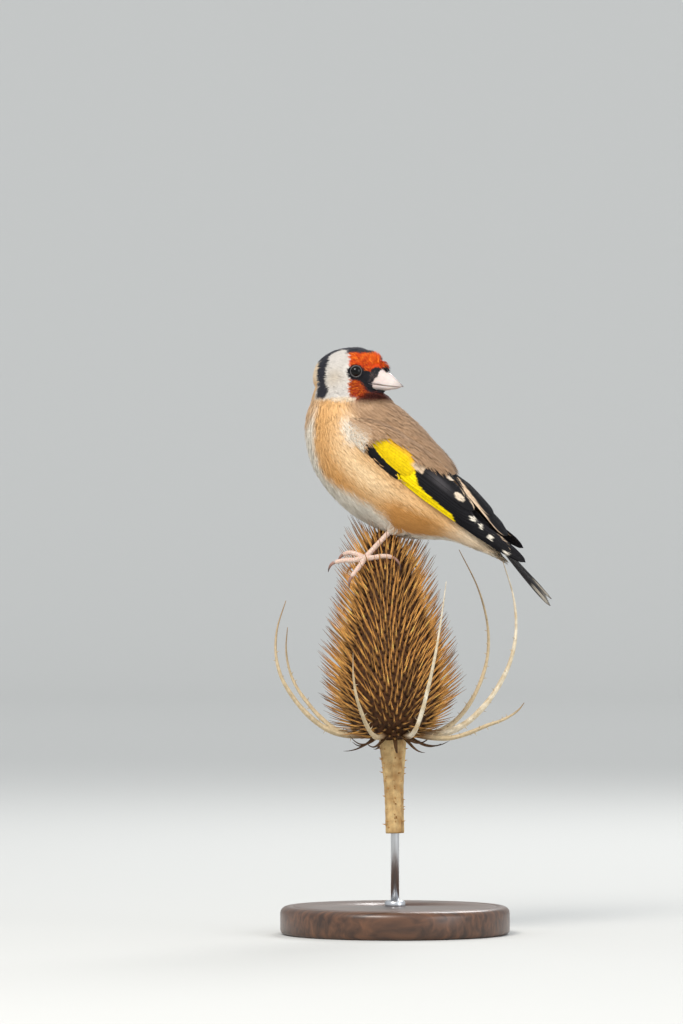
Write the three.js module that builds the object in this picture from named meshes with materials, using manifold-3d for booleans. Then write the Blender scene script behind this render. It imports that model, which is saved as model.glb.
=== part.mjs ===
// European goldfinch, life size, perched on a cut teasel head and shown on a plain display stand.
// Units are millimetres, +Z is up, and the origin is the middle of the underside of the base.
// The bird is measured in its own frame: a runs forward from tail to breast, b to its left, c to its back.
// The head has a frame of its own, because the bird looks back along its body.
import * as THREE from "three";
import { mergeVertices } from "three/addons/utils/BufferGeometryUtils.js";
import Module from "manifold-3d";

const wasm = await Module();
wasm.setup();

// ---------------------------------------------------------------- driving sizes
const GAP = 0.3; // thin cut between neighbouring pieces
const FINE_GAP = 0.14; // thin cut round small pieces: eyes, bill, claws
const FLAT = 0.045; // slivers flatter than this are merged

// stance of the body
const BODY_ORIGIN = [1.8, 0, 167.5];
const BODY_YAW = 22; // degrees the body heads away from the viewer's plane
const BODY_PITCH = 41.8; // degrees the body axis climbs from tail to breast

// head: centre, heading and size
const HEAD_CENTRE = [-15.2, 6.5, 200.2];
const HEAD_YAW = 20; // degrees the bill points towards the viewer's side
const HEAD_PITCH = 10; // degrees the bill points down
const HEAD_ROLL = 0;
const NECK_TOP_Z = 190.4; // level of the cut between head and neck
const NECK_BASE = { point: [-16, 5, 182.4], tilt: 12 }; // cut between neck and trunk

// body: spine position (a, c), half height and half width at stations from tail root to nape
const BODY = [
  { a: -49, c: 0.9, h: 1.4, w: 3.4 },
  { a: -43, c: 0.4, h: 3.3, w: 5.2 },
  { a: -36, c: -0.4, h: 5.6, w: 7.4 },
  { a: -29, c: -1.0, h: 8.8, w: 10.0 },
  { a: -22, c: -2.0, h: 13.0, w: 13.4 },
  { a: -14, c: -3.4, h: 17.2, w: 16.8 },
  { a: -5, c: -4.6, h: 19.2, w: 19.0 },
  { a: 5, c: -5.0, h: 20.2, w: 19.8 },
  { a: 14, c: -4.5, h: 20.0, w: 19.4 },
  { a: 22, c: -1.6, h: 18.6, w: 18.0 },
  { a: 29, c: 2.8, h: 15.4, w: 15.2 },
  { a: 34, c: 7.2, h: 12.0, w: 11.8 },
  { a: 37, c: 12.0, h: 8.6, w: 8.6 },
];
const BODY_RINGS = 18;
const BODY_SIDES = 22;

// head: distance along the bill axis, rise of the section's middle, half height, half width
const HEAD = [
  { x: -13.4, z: -2.5, h: 1.9, w: 2.2 },
  { x: -12.7, z: -2.3, h: 4.2, w: 4.4 },
  { x: -10.4, z: -2.0, h: 7.0, w: 6.9 },
  { x: -6.2, z: -1.3, h: 9.2, w: 8.6 },
  { x: 0.0, z: -0.7, h: 10.4, w: 9.0 },
  { x: 3.2, z: -0.6, h: 10.3, w: 8.0 },
  { x: 6.4, z: -0.7, h: 9.8, w: 5.8 },
  { x: 9.4, z: -1.0, h: 8.9, w: 3.6 },
  { x: 12.0, z: -1.6, h: 7.2, w: 2.4 },
  { x: 13.5, z: -2.1, h: 5.2, w: 1.6 },
];
const HEAD_RINGS = 14;
const HEAD_SIDES = 20;

// bill, in the head frame
const BILL = {
  root: 8.0, // where the bill starts, inside the feathers
  tip: 19.9,
  upper: { top: 6.2, gape: -2.4, halfWidth: 3.9, taper: 0.86 },
  lower: { bottom: -5.1, halfWidth: 3.6, taper: 0.62 },
  gapeDrop: -0.9, // fall of the cutting edge from root to tip
  split: 0.14,
};

const EYE = { x: 3.3, z: 1.3, out: 5.85, radius: 2.35 };

// folded wing: lower edge, middle and upper edge (a, b, c) at stations from wrist to tip
const WING = [
  { p: 0.0, low: [21, 15.6, 0.5], mid: [21, 16.6, 3.5], top: [20, 14.6, 7.0] },
  { p: 0.15, low: [9, 19.8, -0.6], mid: [9, 19.6, 6.4], top: [9, 13.6, 12.4] },
  { p: 0.35, low: [-7, 19.3, 0.2], mid: [-7, 17.6, 7.8], top: [-7, 9.2, 14.4] },
  { p: 0.55, low: [-23, 14.8, 1.7], mid: [-23, 12.6, 7.6], top: [-23, 5.0, 12.5] },
  { p: 0.77, low: [-40, 8.7, 3.0], mid: [-40, 7.4, 6.8], top: [-40, 3.3, 10.4] },
  { p: 1.0, low: [-60, 4.8, 7.0], mid: [-60, 4.5, 7.7], top: [-60, 3.8, 8.3] },
];
const WING_THICK = [2.4, 1.1]; // at the wrist and at the tip
const WING_FAR = { shift: [6.0, 0, 1.4], lower: 2.6 }; // the far wing lies a little further forward and higher

const TAIL = {
  root: -31, tip: -75.4, rootC: 5.2, tipC: 2.2,
  halfWidth: [2.8, 3.5, 4.3], // at the root, the middle and the tip
  halfThick: [1.9, 1.3, 0.55],
  notchDepth: 4.6,
  roll: 34, // degrees
};

const THIGH = { length: 7.0, top: 3.9, bottom: 1.55 };
const TARSUS = { top: 1.05, middle: 0.8, bottom: 1.0 };
const LEGS = {
  left: { heel: [-1.8, -6.4, 143.9], foot: [-10.9, -9.6, 134.3] },
  right: { heel: [3.4, 6.9, 143.9], foot: [-4.6, 9.9, 133.6] },
};
// toes: heading (degrees from +X, seen from above) and climb of each phalanx, then lengths; claws curl on from there
const TOE = { base: 1.0, end: 0.72, pad: 0.82, claw: 0.55, clawTip: 0.26 };
const TOES = {
  left: [
    { name: "hallux", heading: [-12, -4, 6], climb: [4, 8, -8], length: [3.4, 3.6, 3.0], claw: { length: 5.6, climb: [-30, -80], heading: 14 } },
    { name: "inner", heading: [165, 160, 155], climb: [26, 12, -16], length: [3.0, 3.0, 2.6], claw: { length: 3.8, climb: [-40, -85], heading: 152 } },
    { name: "middle", heading: [186, 182, 178], climb: [-10, -2, -12], length: [3.8, 3.6, 3.4], claw: { length: 3.9, climb: [-34, -80], heading: 174 } },
    { name: "outer", heading: [222, 214, 206], climb: [-52, -46, -50], length: [3.0, 3.0, 2.8], claw: { length: 3.7, climb: [-66, -95], heading: 196 } },
  ],
  right: [
    { name: "hallux", heading: [10, 2, -8], climb: [2, 6, -10], length: [3.4, 3.6, 3.0], claw: { length: 5.6, climb: [-32, -82], heading: -16 } },
    { name: "inner", heading: [196, 200, 204], climb: [20, 6, -20], length: [3.0, 3.0, 2.6], claw: { length: 3.8, climb: [-44, -85], heading: 206 } },
    { name: "middle", heading: [174, 178, 182], climb: [-12, -8, -16], length: [3.8, 3.6, 3.4], claw: { length: 3.9, climb: [-38, -82], heading: 186 } },
    { name: "outer", heading: [138, 144, 150], climb: [-50, -46, -50], length: [3.0, 3.0, 2.8], claw: { length: 3.7, climb: [-66, -95], heading: 158 } },
  ],
};

// teasel head: height above the floor and core radius, then its spines
const TEASEL = {
  axisLow: [-0.8, 0.6, 69], axisHigh: [-3.9, 0.6, 146],
  profile: [
    { t: 0.0, r: 3.6 }, { t: 0.03, r: 9.5 }, { t: 0.08, r: 14.4 }, { t: 0.18, r: 17.2 }, { t: 0.3, r: 17.2 }, { t: 0.45, r: 15.4 },
    { t: 0.6, r: 12.6 }, { t: 0.74, r: 10.2 }, { t: 0.86, r: 7.6 }, { t: 0.95, r: 4.4 }, { t: 1.0, r: 1.2 },
  ],
  spine: 7.6, // how far a spine stands out of the core
  spineLean: 0.45, // how much it leans towards the top
  rows: 20, around: 21,
};
const BRACTS = [
  // azimuth from +X, how far it spreads, how high it rises, how much it curls back in, half thickness at the root
  { azimuth: -8, spread: 44, rise: 62, hook: 14, thick: 1.15 },
  { azimuth: -62, spread: 22, rise: 55, hook: -8, thick: 0.95 },
  { azimuth: 30, spread: 44, rise: 66, hook: 26, thick: 0.9 },
  { azimuth: 98, spread: 30, rise: 50, hook: 9, thick: 0.95 },
  { azimuth: 150, spread: 38, rise: 38, hook: 4, thick: 0.9 },
  { azimuth: 196, spread: 42, rise: 48, hook: 12, thick: 1.0 },
  { azimuth: 250, spread: 34, rise: 30, hook: 2, thick: 0.9 },
  { azimuth: -26, spread: 38, rise: 12, hook: -4, thick: 0.85 },
];
const BRACT_ROOT = { z: 71.2, r: 12.6 };
const STEM = { low: 36, high: 69.6, r: [3.1, 3.3, 4.6], ribs: 8, rib: 0.45 };
const ROD = { r: 1.5, low: 5.0, high: 48, play: 0.3 };
const BASE = { r: 41, height: 10, edge: 1.6, foot: 39.5 };

// ---------------------------------------------------------------- small helpers
const rad = (d) => (d * Math.PI) / 180;
const V = (p) => new THREE.Vector3(p[0], p[1], p[2]);
const mix = (a, b, t) => a + (b - a) * t;

// Catmull-Rom through evenly numbered stations, s from 0 to the last station
function smooth(values, s) {
  const n = values.length - 1;
  const i = Math.min(Math.max(Math.floor(s), 0), n - 1);
  const t = s - i;
  const p1 = values[i], p2 = values[i + 1];
  const p0 = i > 0 ? values[i - 1] : 2 * p1 - p2;
  const p3 = i + 2 <= n ? values[i + 2] : 2 * p2 - p1;
  return 0.5 * (2 * p1 + (p2 - p0) * t + (2 * p0 - 5 * p1 + 4 * p2 - p3) * t * t + (3 * p1 - p0 - 3 * p2 + p3) * t * t * t);
}
const column = (table, key) => table.map((row) => row[key]);

// body frame
const yaw = rad(BODY_YAW), pitch = rad(BODY_PITCH);
const F = new THREE.Vector3(-Math.cos(pitch) * Math.cos(yaw), Math.cos(pitch) * Math.sin(yaw), Math.sin(pitch));
const L = new THREE.Vector3(-Math.sin(yaw), -Math.cos(yaw), 0);
const D = new THREE.Vector3().crossVectors(F, L);
const body = (a, b, c) => V(BODY_ORIGIN).addScaledVector(F, a).addScaledVector(L, b).addScaledVector(D, c);

// head frame
const hy = rad(HEAD_YAW), hp = rad(HEAD_PITCH), hr = rad(HEAD_ROLL);
const HF = new THREE.Vector3(Math.cos(hp) * Math.cos(hy), -Math.cos(hp) * Math.sin(hy), -Math.sin(hp));
const HL = new THREE.Vector3(Math.sin(hy), Math.cos(hy), 0).applyAxisAngle(HF, hr);
const HU = new THREE.Vector3().crossVectors(HF, HL);
const headPoint = (x, y, z) => V(HEAD_CENTRE).addScaledVector(HF, x).addScaledVector(HL, y).addScaledVector(HU, z);

// closed body from rings of equal length, capped at both ends
function fromRings(rings) {
  const n = rings[0].length;
  const positions = [];
  const index = [];
  for (const ring of rings) for (const p of ring) positions.push(p.x, p.y, p.z);
  for (let i = 0; i + 1 < rings.length; i++)
    for (let j = 0; j < n; j++) {
      const a = i * n + j, b = i * n + ((j + 1) % n), c = a + n, d = b + n;
      index.push(a, b, d, a, d, c);
    }
  const cap = (ring, base, flip) => {
    const m = ring.reduce((s, p) => s.add(p), new THREE.Vector3()).divideScalar(n);
    const k = positions.length / 3;
    positions.push(m.x, m.y, m.z);
    for (let j = 0; j < n; j++) {
      const a = base + j, b = base + ((j + 1) % n);
      if (flip) index.push(k, b, a);
      else index.push(k, a, b);
    }
  };
  cap(rings[0], 0, true);
  cap(rings[rings.length - 1], (rings.length - 1) * n, false);
  const g = new THREE.BufferGeometry();
  g.setAttribute("position", new THREE.Float32BufferAttribute(positions, 3));
  g.setIndex(index);
  return g;
}

function solid(geometry) {
  const g = geometry.clone();
  g.deleteAttribute("normal");
  g.deleteAttribute("uv");
  const merged = mergeVertices(g, 1e-4);
  const make = (flip) => {
    const tri = new Uint32Array(merged.index.array);
    if (flip) for (let i = 0; i < tri.length; i += 3) [tri[i], tri[i + 1]] = [tri[i + 1], tri[i]];
    return new wasm.Manifold(new wasm.Mesh({ numProp: 3, vertProperties: new Float32Array(merged.attributes.position.array), triVerts: tri }));
  };
  const made = make(false);
  return made.volume() < 0 ? make(true) : made;
}

const largest = (m) => m.decompose().sort((p, q) => q.volume() - p.volume())[0];

// a mesh whose position is the middle of its own box, inside a group at `origin`
function piece(name, manifold, material, origin = [0, 0, 0], flat = FLAT) {
  const one = largest(largest(manifold).simplify(flat));
  const mesh = one.getMesh();
  const n = mesh.numProp;
  const xyz = new Float32Array(mesh.numVert * 3);
  for (let i = 0; i < mesh.numVert; i++) for (let k = 0; k < 3; k++) xyz[i * 3 + k] = mesh.vertProperties[i * n + k];
  const g = new THREE.BufferGeometry();
  g.setAttribute("position", new THREE.BufferAttribute(xyz, 3));
  g.setIndex(new THREE.BufferAttribute(new Uint32Array(mesh.triVerts), 1));
  g.computeBoundingBox();
  const c = g.boundingBox.getCenter(new THREE.Vector3());
  g.translate(-c.x, -c.y, -c.z);
  g.computeVertexNormals();
  const out = new THREE.Mesh(g, material);
  out.name = name;
  out.position.set(c.x - origin[0], c.y - origin[1], c.z - origin[2]);
  return out;
}

// a box that holds everything on one side of a plane
function halfSpace(point, normal, size = 400) {
  const g = new THREE.BoxGeometry(size, size, size);
  g.translate(0, 0, size / 2);
  g.applyQuaternion(new THREE.Quaternion().setFromUnitVectors(new THREE.Vector3(0, 0, 1), normal.clone().normalize()));
  g.translate(point.x, point.y, point.z);
  return solid(g);
}

// round tube through points with a radius at each, closed at both ends
function tube(points, radii, sides = 8, roundEnds = true) {
  const rings = [];
  let carried = null; // the ring's own X, turned as little as possible from ring to ring
  const ring = (p, t, r) => {
    const up = carried ?? (Math.abs(t.z) < 0.9 ? new THREE.Vector3(0, 0, 1) : new THREE.Vector3(1, 0, 0)).cross(t);
    const u = up.clone().addScaledVector(t, -up.dot(t)).normalize();
    carried = u;
    const v = new THREE.Vector3().crossVectors(t, u);
    return Array.from({ length: sides }, (_, j) => {
      const f = (2 * Math.PI * j) / sides;
      return p.clone().addScaledVector(u, r * Math.cos(f)).addScaledVector(v, r * Math.sin(f));
    });
  };
  points.forEach((p, i) => {
    const t = points[Math.min(i + 1, points.length - 1)].clone().sub(points[Math.max(i - 1, 0)]).normalize();
    if (i === 0 && roundEnds) rings.push(ring(p.clone().addScaledVector(t, -0.55 * radii[0]), t, radii[0] * 0.62));
    rings.push(ring(p, t, radii[i]));
    if (i === points.length - 1 && roundEnds) rings.push(ring(p.clone().addScaledVector(t, 0.55 * radii[i]), t, radii[i] * 0.62));
  });
  return fromRings(rings);
}

// ---------------------------------------------------------------- body and head
function bodyGeometry(grow = 0) {
  const rings = [];
  for (let i = 0; i <= BODY_RINGS; i++) {
    const s = (i / BODY_RINGS) * (BODY.length - 1);
    const at = (k, q) => smooth(column(BODY, k), q);
    const a = at("a", s), c = at("c", s);
    const e = 0.02;
    const da = at("a", s + e) - at("a", s - e), dc = at("c", s + e) - at("c", s - e);
    const len = Math.hypot(da, dc);
    const na = -dc / len, nc = da / len;
    const h = at("h", s) + grow, w = at("w", s) + grow;
    rings.push(
      Array.from({ length: BODY_SIDES }, (_, j) => {
        const f = (2 * Math.PI * j) / BODY_SIDES;
        return body(a + na * h * Math.sin(f), w * Math.cos(f), c + nc * h * Math.sin(f));
      }),
    );
  }
  return fromRings(rings);
}

function headGeometry() {
  const rings = [];
  for (let i = 0; i <= HEAD_RINGS; i++) {
    const s = (i / HEAD_RINGS) * (HEAD.length - 1);
    const at = (k) => smooth(column(HEAD, k), s);
    rings.push(
      Array.from({ length: HEAD_SIDES }, (_, j) => {
        const f = (2 * Math.PI * j) / HEAD_SIDES;
        return headPoint(at("x"), at("w") * Math.cos(f), at("z") + at("h") * Math.sin(f));
      }),
    );
  }
  return fromRings(rings);
}

// half of the cone-shaped bill: section between the cutting edge and the culmen or the gonys
function billGeometry(upper, grow = 0) {
  const rings = [];
  const steps = 7, arc = 8;
  const B = BILL;
  const length = B.tip - B.root - (upper ? 0 : 0.9);
  for (let i = 0; i <= steps; i++) {
    const u = i / steps;
    const x = B.root - (i === 0 ? grow : 0) + u * length + (i === steps ? grow : 0);
    const taper = Math.pow(1 - u, (upper ? B.upper : B.lower).taper) * 0.96 + 0.04;
    const edge = B.upper.gape - B.gapeDrop * Math.pow(u, 1.15) + (upper ? 1 : -1) * (B.split / 2 - grow);
    const wide = (upper ? B.upper.halfWidth : B.lower.halfWidth) * taper + grow;
    const deep = (upper ? B.upper.top - B.upper.gape : B.upper.gape - B.lower.bottom) * taper + 2 * grow;
    const ring = [];
    for (let j = 0; j <= arc; j++) {
      const f = (Math.PI * j) / arc;
      const y = wide * Math.cos(f);
      const z = (upper ? 1 : -1) * deep * Math.pow(Math.sin(f), 0.8);
      ring.push(headPoint(x, y, edge + z));
    }
    ring.push(headPoint(x, -wide * 0.4, edge));
    ring.push(headPoint(x, wide * 0.4, edge));
    rings.push(ring);
  }
  return fromRings(rings);
}

function eyeGeometry(side, grow = 0) {
  const g = new THREE.SphereGeometry(EYE.radius + grow, 12, 8);
  const p = headPoint(EYE.x, side * EYE.out, EYE.z);
  g.translate(p.x, p.y, p.z);
  return g;
}

// ---------------------------------------------------------------- wings and tail
function wingPoint(s, q, key) {
  const at = (edge, k) => smooth(WING.map((row) => row[edge][k]), s);
  const lo = [0, 1, 2].map((k) => at("low", k));
  const mi = [0, 1, 2].map((k) => at("mid", k));
  const hi = [0, 1, 2].map((k) => at("top", k));
  const A = 2 * (q - 0.5) * (q - 1), B = 4 * q * (1 - q), C = 2 * q * (q - 0.5);
  return [0, 1, 2].map((k) => A * lo[k] + B * mi[k] + C * hi[k]);
}

function wingSurface(side, s, q) {
  const p = wingPoint(s, q);
  if (side < 0) {
    const t = s / (WING.length - 1);
    p[0] += WING_FAR.shift[0] * t;
    p[2] += WING_FAR.shift[2] * t - WING_FAR.lower * Math.sin(Math.PI * Math.min(1, t * 1.05)) * (0.4 + 0.6 * q);
  }
  return body(p[0], side * p[1], p[2]);
}

function wingGeometry(side, grow = 0) {
  const rings = [];
  const steps = 14, across = 5;
  const last = WING.length - 1;
  for (let i = 0; i <= steps; i++) {
    const s = (i / steps) * last;
    const t = i / steps;
    const thick = mix(WING_THICK[0], WING_THICK[1], t) * (t > 0.93 ? 0.8 : 1);
    const outer = [], inner = [];
    for (let j = 0; j <= across; j++) {
      const q = j / across;
      const e = 0.03;
      const p = wingSurface(side, s, q);
      const du = wingSurface(side, Math.min(s + e, last), q).sub(wingSurface(side, Math.max(s - e, 0), q));
      const dv = wingSurface(side, s, Math.min(q + e, 1)).sub(wingSurface(side, s, Math.max(q - e, 0)));
      const n = new THREE.Vector3().crossVectors(du, dv).normalize();
      if (n.dot(L) * side < 0) n.negate();
      const across1 = dv.clone().normalize();
      const along = du.clone().normalize();
      const edge = j === 0 ? -1 : j === across ? 1 : 0;
      const end = i === 0 ? -1 : i === steps ? 1 : 0;
      const thin = edge ? 0.45 : j === 1 || j === across - 1 ? 0.85 : 1;
      const place = (k) => p.clone().addScaledVector(n, k).addScaledVector(across1, edge * grow).addScaledVector(along, end * grow);
      outer.push(place(grow));
      inner.push(place(-Math.max(0.5, thick * thin) - grow));
    }
    rings.push([...outer, ...inner.reverse()]);
  }
  return fromRings(rings);
}

// the closed tail turns a little about its own length, left edge up
function tailRoll(t) {
  return rad(TAIL.roll) * Math.sin((Math.PI / 2) * Math.min(1, Math.max(0, t) * 1.15));
}

function tailGeometry(grow = 0) {
  const rings = [];
  const steps = 8, sides = 14;
  for (let i = 0; i <= steps; i++) {
    const t = i / steps;
    const end = i === 0 ? grow : i === steps ? -grow : 0;
    const a = mix(TAIL.root, TAIL.tip, t) + end;
    const c = mix(TAIL.rootC, TAIL.tipC, t);
    const w = smooth(TAIL.halfWidth, t * 2) + grow;
    const h = smooth(TAIL.halfThick, t * 2) + grow;
    rings.push(
      Array.from({ length: sides }, (_, j) => {
        const f = (2 * Math.PI * j) / sides;
        const ey = Math.sign(Math.cos(f)) * Math.pow(Math.abs(Math.cos(f)), 0.8);
        const ez = Math.sign(Math.sin(f)) * Math.pow(Math.abs(Math.sin(f)), 0.8);
        const y = w * ey, z = h * ez + 0.25 * (1 - ey * ey);
        const roll = tailRoll(t);
        return body(a, y * Math.cos(roll) - z * Math.sin(roll), c + y * Math.sin(roll) + z * Math.cos(roll));
      }),
    );
  }
  return fromRings(rings);
}

function tailNotch() {
  const shape = new THREE.Shape();
  shape.moveTo(0, 0);
  shape.lineTo(-TAIL.notchDepth - 2, -TAIL.halfWidth[2] * 0.62 - 1.6);
  shape.lineTo(-TAIL.notchDepth - 2, TAIL.halfWidth[2] * 0.62 + 1.6);
  shape.closePath();
  const g = new THREE.ExtrudeGeometry(shape, { depth: 14, bevelEnabled: false });
  g.translate(0, 0, -7);
  const p = g.attributes.position;
  for (let i = 0; i < p.count; i++) {
    const r = tailRoll(1), y = p.getY(i), z = p.getZ(i);
    const q = body(TAIL.tip + TAIL.notchDepth + p.getX(i), y * Math.cos(r) - z * Math.sin(r), TAIL.tipC + y * Math.sin(r) + z * Math.cos(r));
    p.setXYZ(i, q.x, q.y, q.z);
  }
  return g;
}

// ---------------------------------------------------------------- legs
const legDirection = (leg) => V(leg.foot).sub(V(leg.heel)).normalize();

function thighGeometry(leg, grow = 0) {
  const heel = V(leg.heel);
  // the drumstick climbs from the heel into the belly, back towards the tail
  const dir = new THREE.Vector3().addScaledVector(F, -0.35).addScaledVector(D, 0.94).normalize();
  const pts = [0, 0.25, 0.5, 0.75, 1].map((t) => heel.clone().addScaledVector(dir, t * THIGH.length));
  const radii = [0, 0.25, 0.5, 0.75, 1].map((t) => mix(THIGH.bottom, THIGH.top, Math.pow(t, 0.8)) + grow);
  return tube(pts, radii, 10);
}

function tarsusGeometry(leg, grow = 0) {
  const dir = legDirection(leg);
  const from = V(leg.heel).addScaledVector(dir, THIGH.bottom * 0.55 + 0.25);
  const to = V(leg.foot).addScaledVector(dir, -1.15);
  const pts = [0, 0.12, 0.5, 0.88, 1].map((t) => from.clone().lerp(to, t));
  return tube(pts, [TARSUS.top, TARSUS.top, TARSUS.middle, TARSUS.middle, TARSUS.bottom].map((r) => r + grow), 8, false);
}

function direction(heading, climb) {
  const h = rad(heading), c = rad(climb);
  return new THREE.Vector3(Math.cos(c) * Math.cos(h), Math.cos(c) * Math.sin(h), Math.sin(c));
}

function toePath(leg, toe) {
  const pts = [V(leg.foot)];
  toe.length.forEach((len, i) => pts.push(pts[pts.length - 1].clone().addScaledVector(direction(toe.heading[i], toe.climb[i]), len)));
  return pts;
}

function toeGeometry(leg, toe, grow = 0) {
  const pts = toePath(leg, toe);
  const fine = [], radii = [];
  for (let i = 0; i + 1 < pts.length; i++) {
    fine.push(pts[i]);
    radii.push((i === 0 ? TOE.base : mix(TOE.base, TOE.end, i / 3)) + grow);
  }
  fine.push(pts[pts.length - 1]);
  radii.push(TOE.end + grow);
  return tube(fine, radii, 6);
}

function clawGeometry(leg, toe, grow = 0) {
  const pts = toePath(leg, toe);
  const end = pts[pts.length - 1];
  const last = toe.heading.length - 1;
  const d0 = direction(toe.heading[last], toe.climb[last]);
  let p = end.clone().addScaledVector(d0, TOE.end * 0.55 + FINE_GAP);
  const out = [p.clone()];
  const steps = 4;
  for (let i = 1; i <= steps; i++) {
    p = p.clone().addScaledVector(direction(toe.claw.heading, mix(toe.claw.climb[0], toe.claw.climb[1], i / steps)), toe.claw.length / steps);
    out.push(p);
  }
  const radii = out.map((_, i) => mix(TOE.claw, TOE.clawTip, i / steps) + grow);
  if (grow > 0) {
    out[0].addScaledVector(d0, -grow);
    out.push(out[steps].clone().addScaledVector(direction(toe.claw.heading, toe.claw.climb[1]), grow));
    radii.push(TOE.clawTip + grow);
  }
  return tube(out, radii, 6, false);
}

// ---------------------------------------------------------------- teasel, stem and stand
const axisAt = (t) => V(TEASEL.axisLow).lerp(V(TEASEL.axisHigh), t);
const AXIS = V(TEASEL.axisHigh).sub(V(TEASEL.axisLow)).normalize();
const AXIS_U = new THREE.Vector3(1, 0, 0).addScaledVector(AXIS, -AXIS.x).normalize();
const AXIS_V = new THREE.Vector3().crossVectors(AXIS, AXIS_U);

function coreRadius(t) {
  const p = TEASEL.profile;
  let i = 0;
  while (i + 2 < p.length && p[i + 1].t < t) i++;
  const u = (t - p[i].t) / (p[i + 1].t - p[i].t);
  return smooth(column(p, "r"), i + u);
}

// the core and its spines are one surface: every third point of a triangular net is drawn out into a spine
function teaselGeometry() {
  const { rows, around } = TEASEL;
  const positions = [];
  const index = [];
  const height = V(TEASEL.axisHigh).distanceTo(V(TEASEL.axisLow));
  for (let i = 0; i < rows; i++) {
    const t = 0.5 - 0.5 * Math.cos(Math.PI * mix(0.09, 0.955, i / (rows - 1)));
    const r = coreRadius(t);
    const slope = (coreRadius(Math.min(t + 0.01, 1)) - coreRadius(Math.max(t - 0.01, 0))) / (0.02 * height);
    for (let j = 0; j < around; j++) {
      const f = (2 * Math.PI * (j + (i % 2) / 2)) / around;
      const out = new THREE.Vector3().addScaledVector(AXIS_U, Math.cos(f)).addScaledVector(AXIS_V, Math.sin(f));
      const normal = out.clone().addScaledVector(AXIS, -slope).normalize().addScaledVector(AXIS, TEASEL.spineLean).normalize();
      const q = j - Math.floor(i / 2);
      const colour = (((q - i) % 3) + 3) % 3;
      const p = axisAt(t).addScaledVector(out, r);
      if (colour === 0 && i > 0) p.addScaledVector(normal, TEASEL.spine * (t > 0.9 ? 1.25 : t < 0.12 ? 0.7 : 1));
      positions.push(p.x, p.y, p.z);
    }
  }
  for (let i = 0; i + 1 < rows; i++)
    for (let j = 0; j < around; j++) {
      const a = i * around + j, b = i * around + ((j + 1) % around);
      const c = (i + 1) * around + j, d = (i + 1) * around + ((j + 1) % around);
      if (i % 2 === 0) index.push(a, b, c, b, d, c);
      else index.push(a, b, d, a, d, c);
    }
  const low = positions.length / 3;
  const pl = axisAt(0), ph = axisAt(1.0);
  positions.push(pl.x, pl.y, pl.z, ph.x, ph.y, ph.z);
  for (let j = 0; j < around; j++) {
    index.push(low, (j + 1) % around, j);
    const base = (rows - 1) * around;
    index.push(low + 1, base + j, base + ((j + 1) % around));
  }
  const g = new THREE.BufferGeometry();
  g.setAttribute("position", new THREE.Float32BufferAttribute(positions, 3));
  g.setIndex(index);
  return g;
}

function bractPath(bract) {
  const f = rad(bract.azimuth);
  const steps = 8;
  return Array.from({ length: steps + 1 }, (_, i) => {
    const u = i / steps;
    const reach = BRACT_ROOT.r - 3 + bract.spread * Math.sin((u * Math.PI) / 2) - bract.hook * Math.pow(u, 3);
    const z = BRACT_ROOT.z - 3.0 * Math.sin(Math.PI * Math.min(1, u * 2.2)) * 0.6 + bract.rise * Math.pow(u, 1.7);
    return new THREE.Vector3(TEASEL.axisLow[0] + reach * Math.cos(f), TEASEL.axisLow[1] + reach * Math.sin(f), z);
  });
}

function bractGeometry(bract, grow = 0) {
  const pts = bractPath(bract);
  const radii = pts.map((_, i) => mix(bract.thick, 0.32, i / (pts.length - 1)) + grow);
  if (grow > 0) pts[0].add(pts[0].clone().sub(pts[1]).setLength(grow));
  return tube(pts, radii, 5, false);
}

function stemGeometry(grow = 0) {
  const rings = [];
  const steps = 6, sides = STEM.ribs * 2;
  for (let i = 0; i <= steps; i++) {
    const t = i / steps;
    const r = smooth(STEM.r, t * 2) + grow;
    const c = V([0, 0, 0]).lerp(V([TEASEL.axisLow[0], TEASEL.axisLow[1], 0]), t);
    rings.push(
      Array.from({ length: sides }, (_, j) => {
        const f = (2 * Math.PI * j) / sides;
        const rr = r + (j % 2 ? -STEM.rib : STEM.rib) * 0.5;
        return new THREE.Vector3(c.x + rr * Math.cos(f), c.y + rr * Math.sin(f), mix(STEM.low, STEM.high - GAP + grow, t));
      }),
    );
  }
  return fromRings(rings);
}

function rodGeometry(grow = 0) {
  const g = new THREE.CylinderGeometry(ROD.r + grow, ROD.r + grow, ROD.high - ROD.low + 2 * grow, 16);
  g.rotateX(Math.PI / 2);
  g.translate(0, 0, (ROD.high + ROD.low) / 2);
  return g;
}

function baseGeometry() {
  const { r, height, edge, foot } = BASE;
  const profile = [
    [0, 0], [foot, 0], [r, 1.4], [r, height - edge - 0.6], [r - 0.5, height - 0.7], [r - edge, height], [0, height],
  ].map(([x, y]) => new THREE.Vector2(x, y));
  const g = new THREE.LatheGeometry(profile, 36);
  g.rotateX(Math.PI / 2);
  return g;
}

// ---------------------------------------------------------------- materials
const paint = (color, roughness, metalness = 0) => new THREE.MeshStandardMaterial({ color, roughness, metalness });
const M = {
  face: paint(0xe9e2d8, 0.75), plumage: paint(0xc7a07c, 0.8), bill: paint(0xe6d6cc, 0.45), eye: paint(0x140d0a, 0.08),
  wing: paint(0x17161a, 0.5), tail: paint(0x1a1a1f, 0.5), leg: paint(0xd0a698, 0.6), claw: paint(0x6e5148, 0.4),
  teasel: paint(0x9a6128, 0.75), bract: paint(0xcbbb9c, 0.8), stem: paint(0xc9ad76, 0.8), rod: paint(0x8d9094, 0.35, 1), base: paint(0x3b2a20, 0.5),
};

// ---------------------------------------------------------------- assembly
const headSolid = solid(headGeometry());
const bodySolid = solid(bodyGeometry());
const flesh = bodySolid.add(headSolid);

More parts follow.
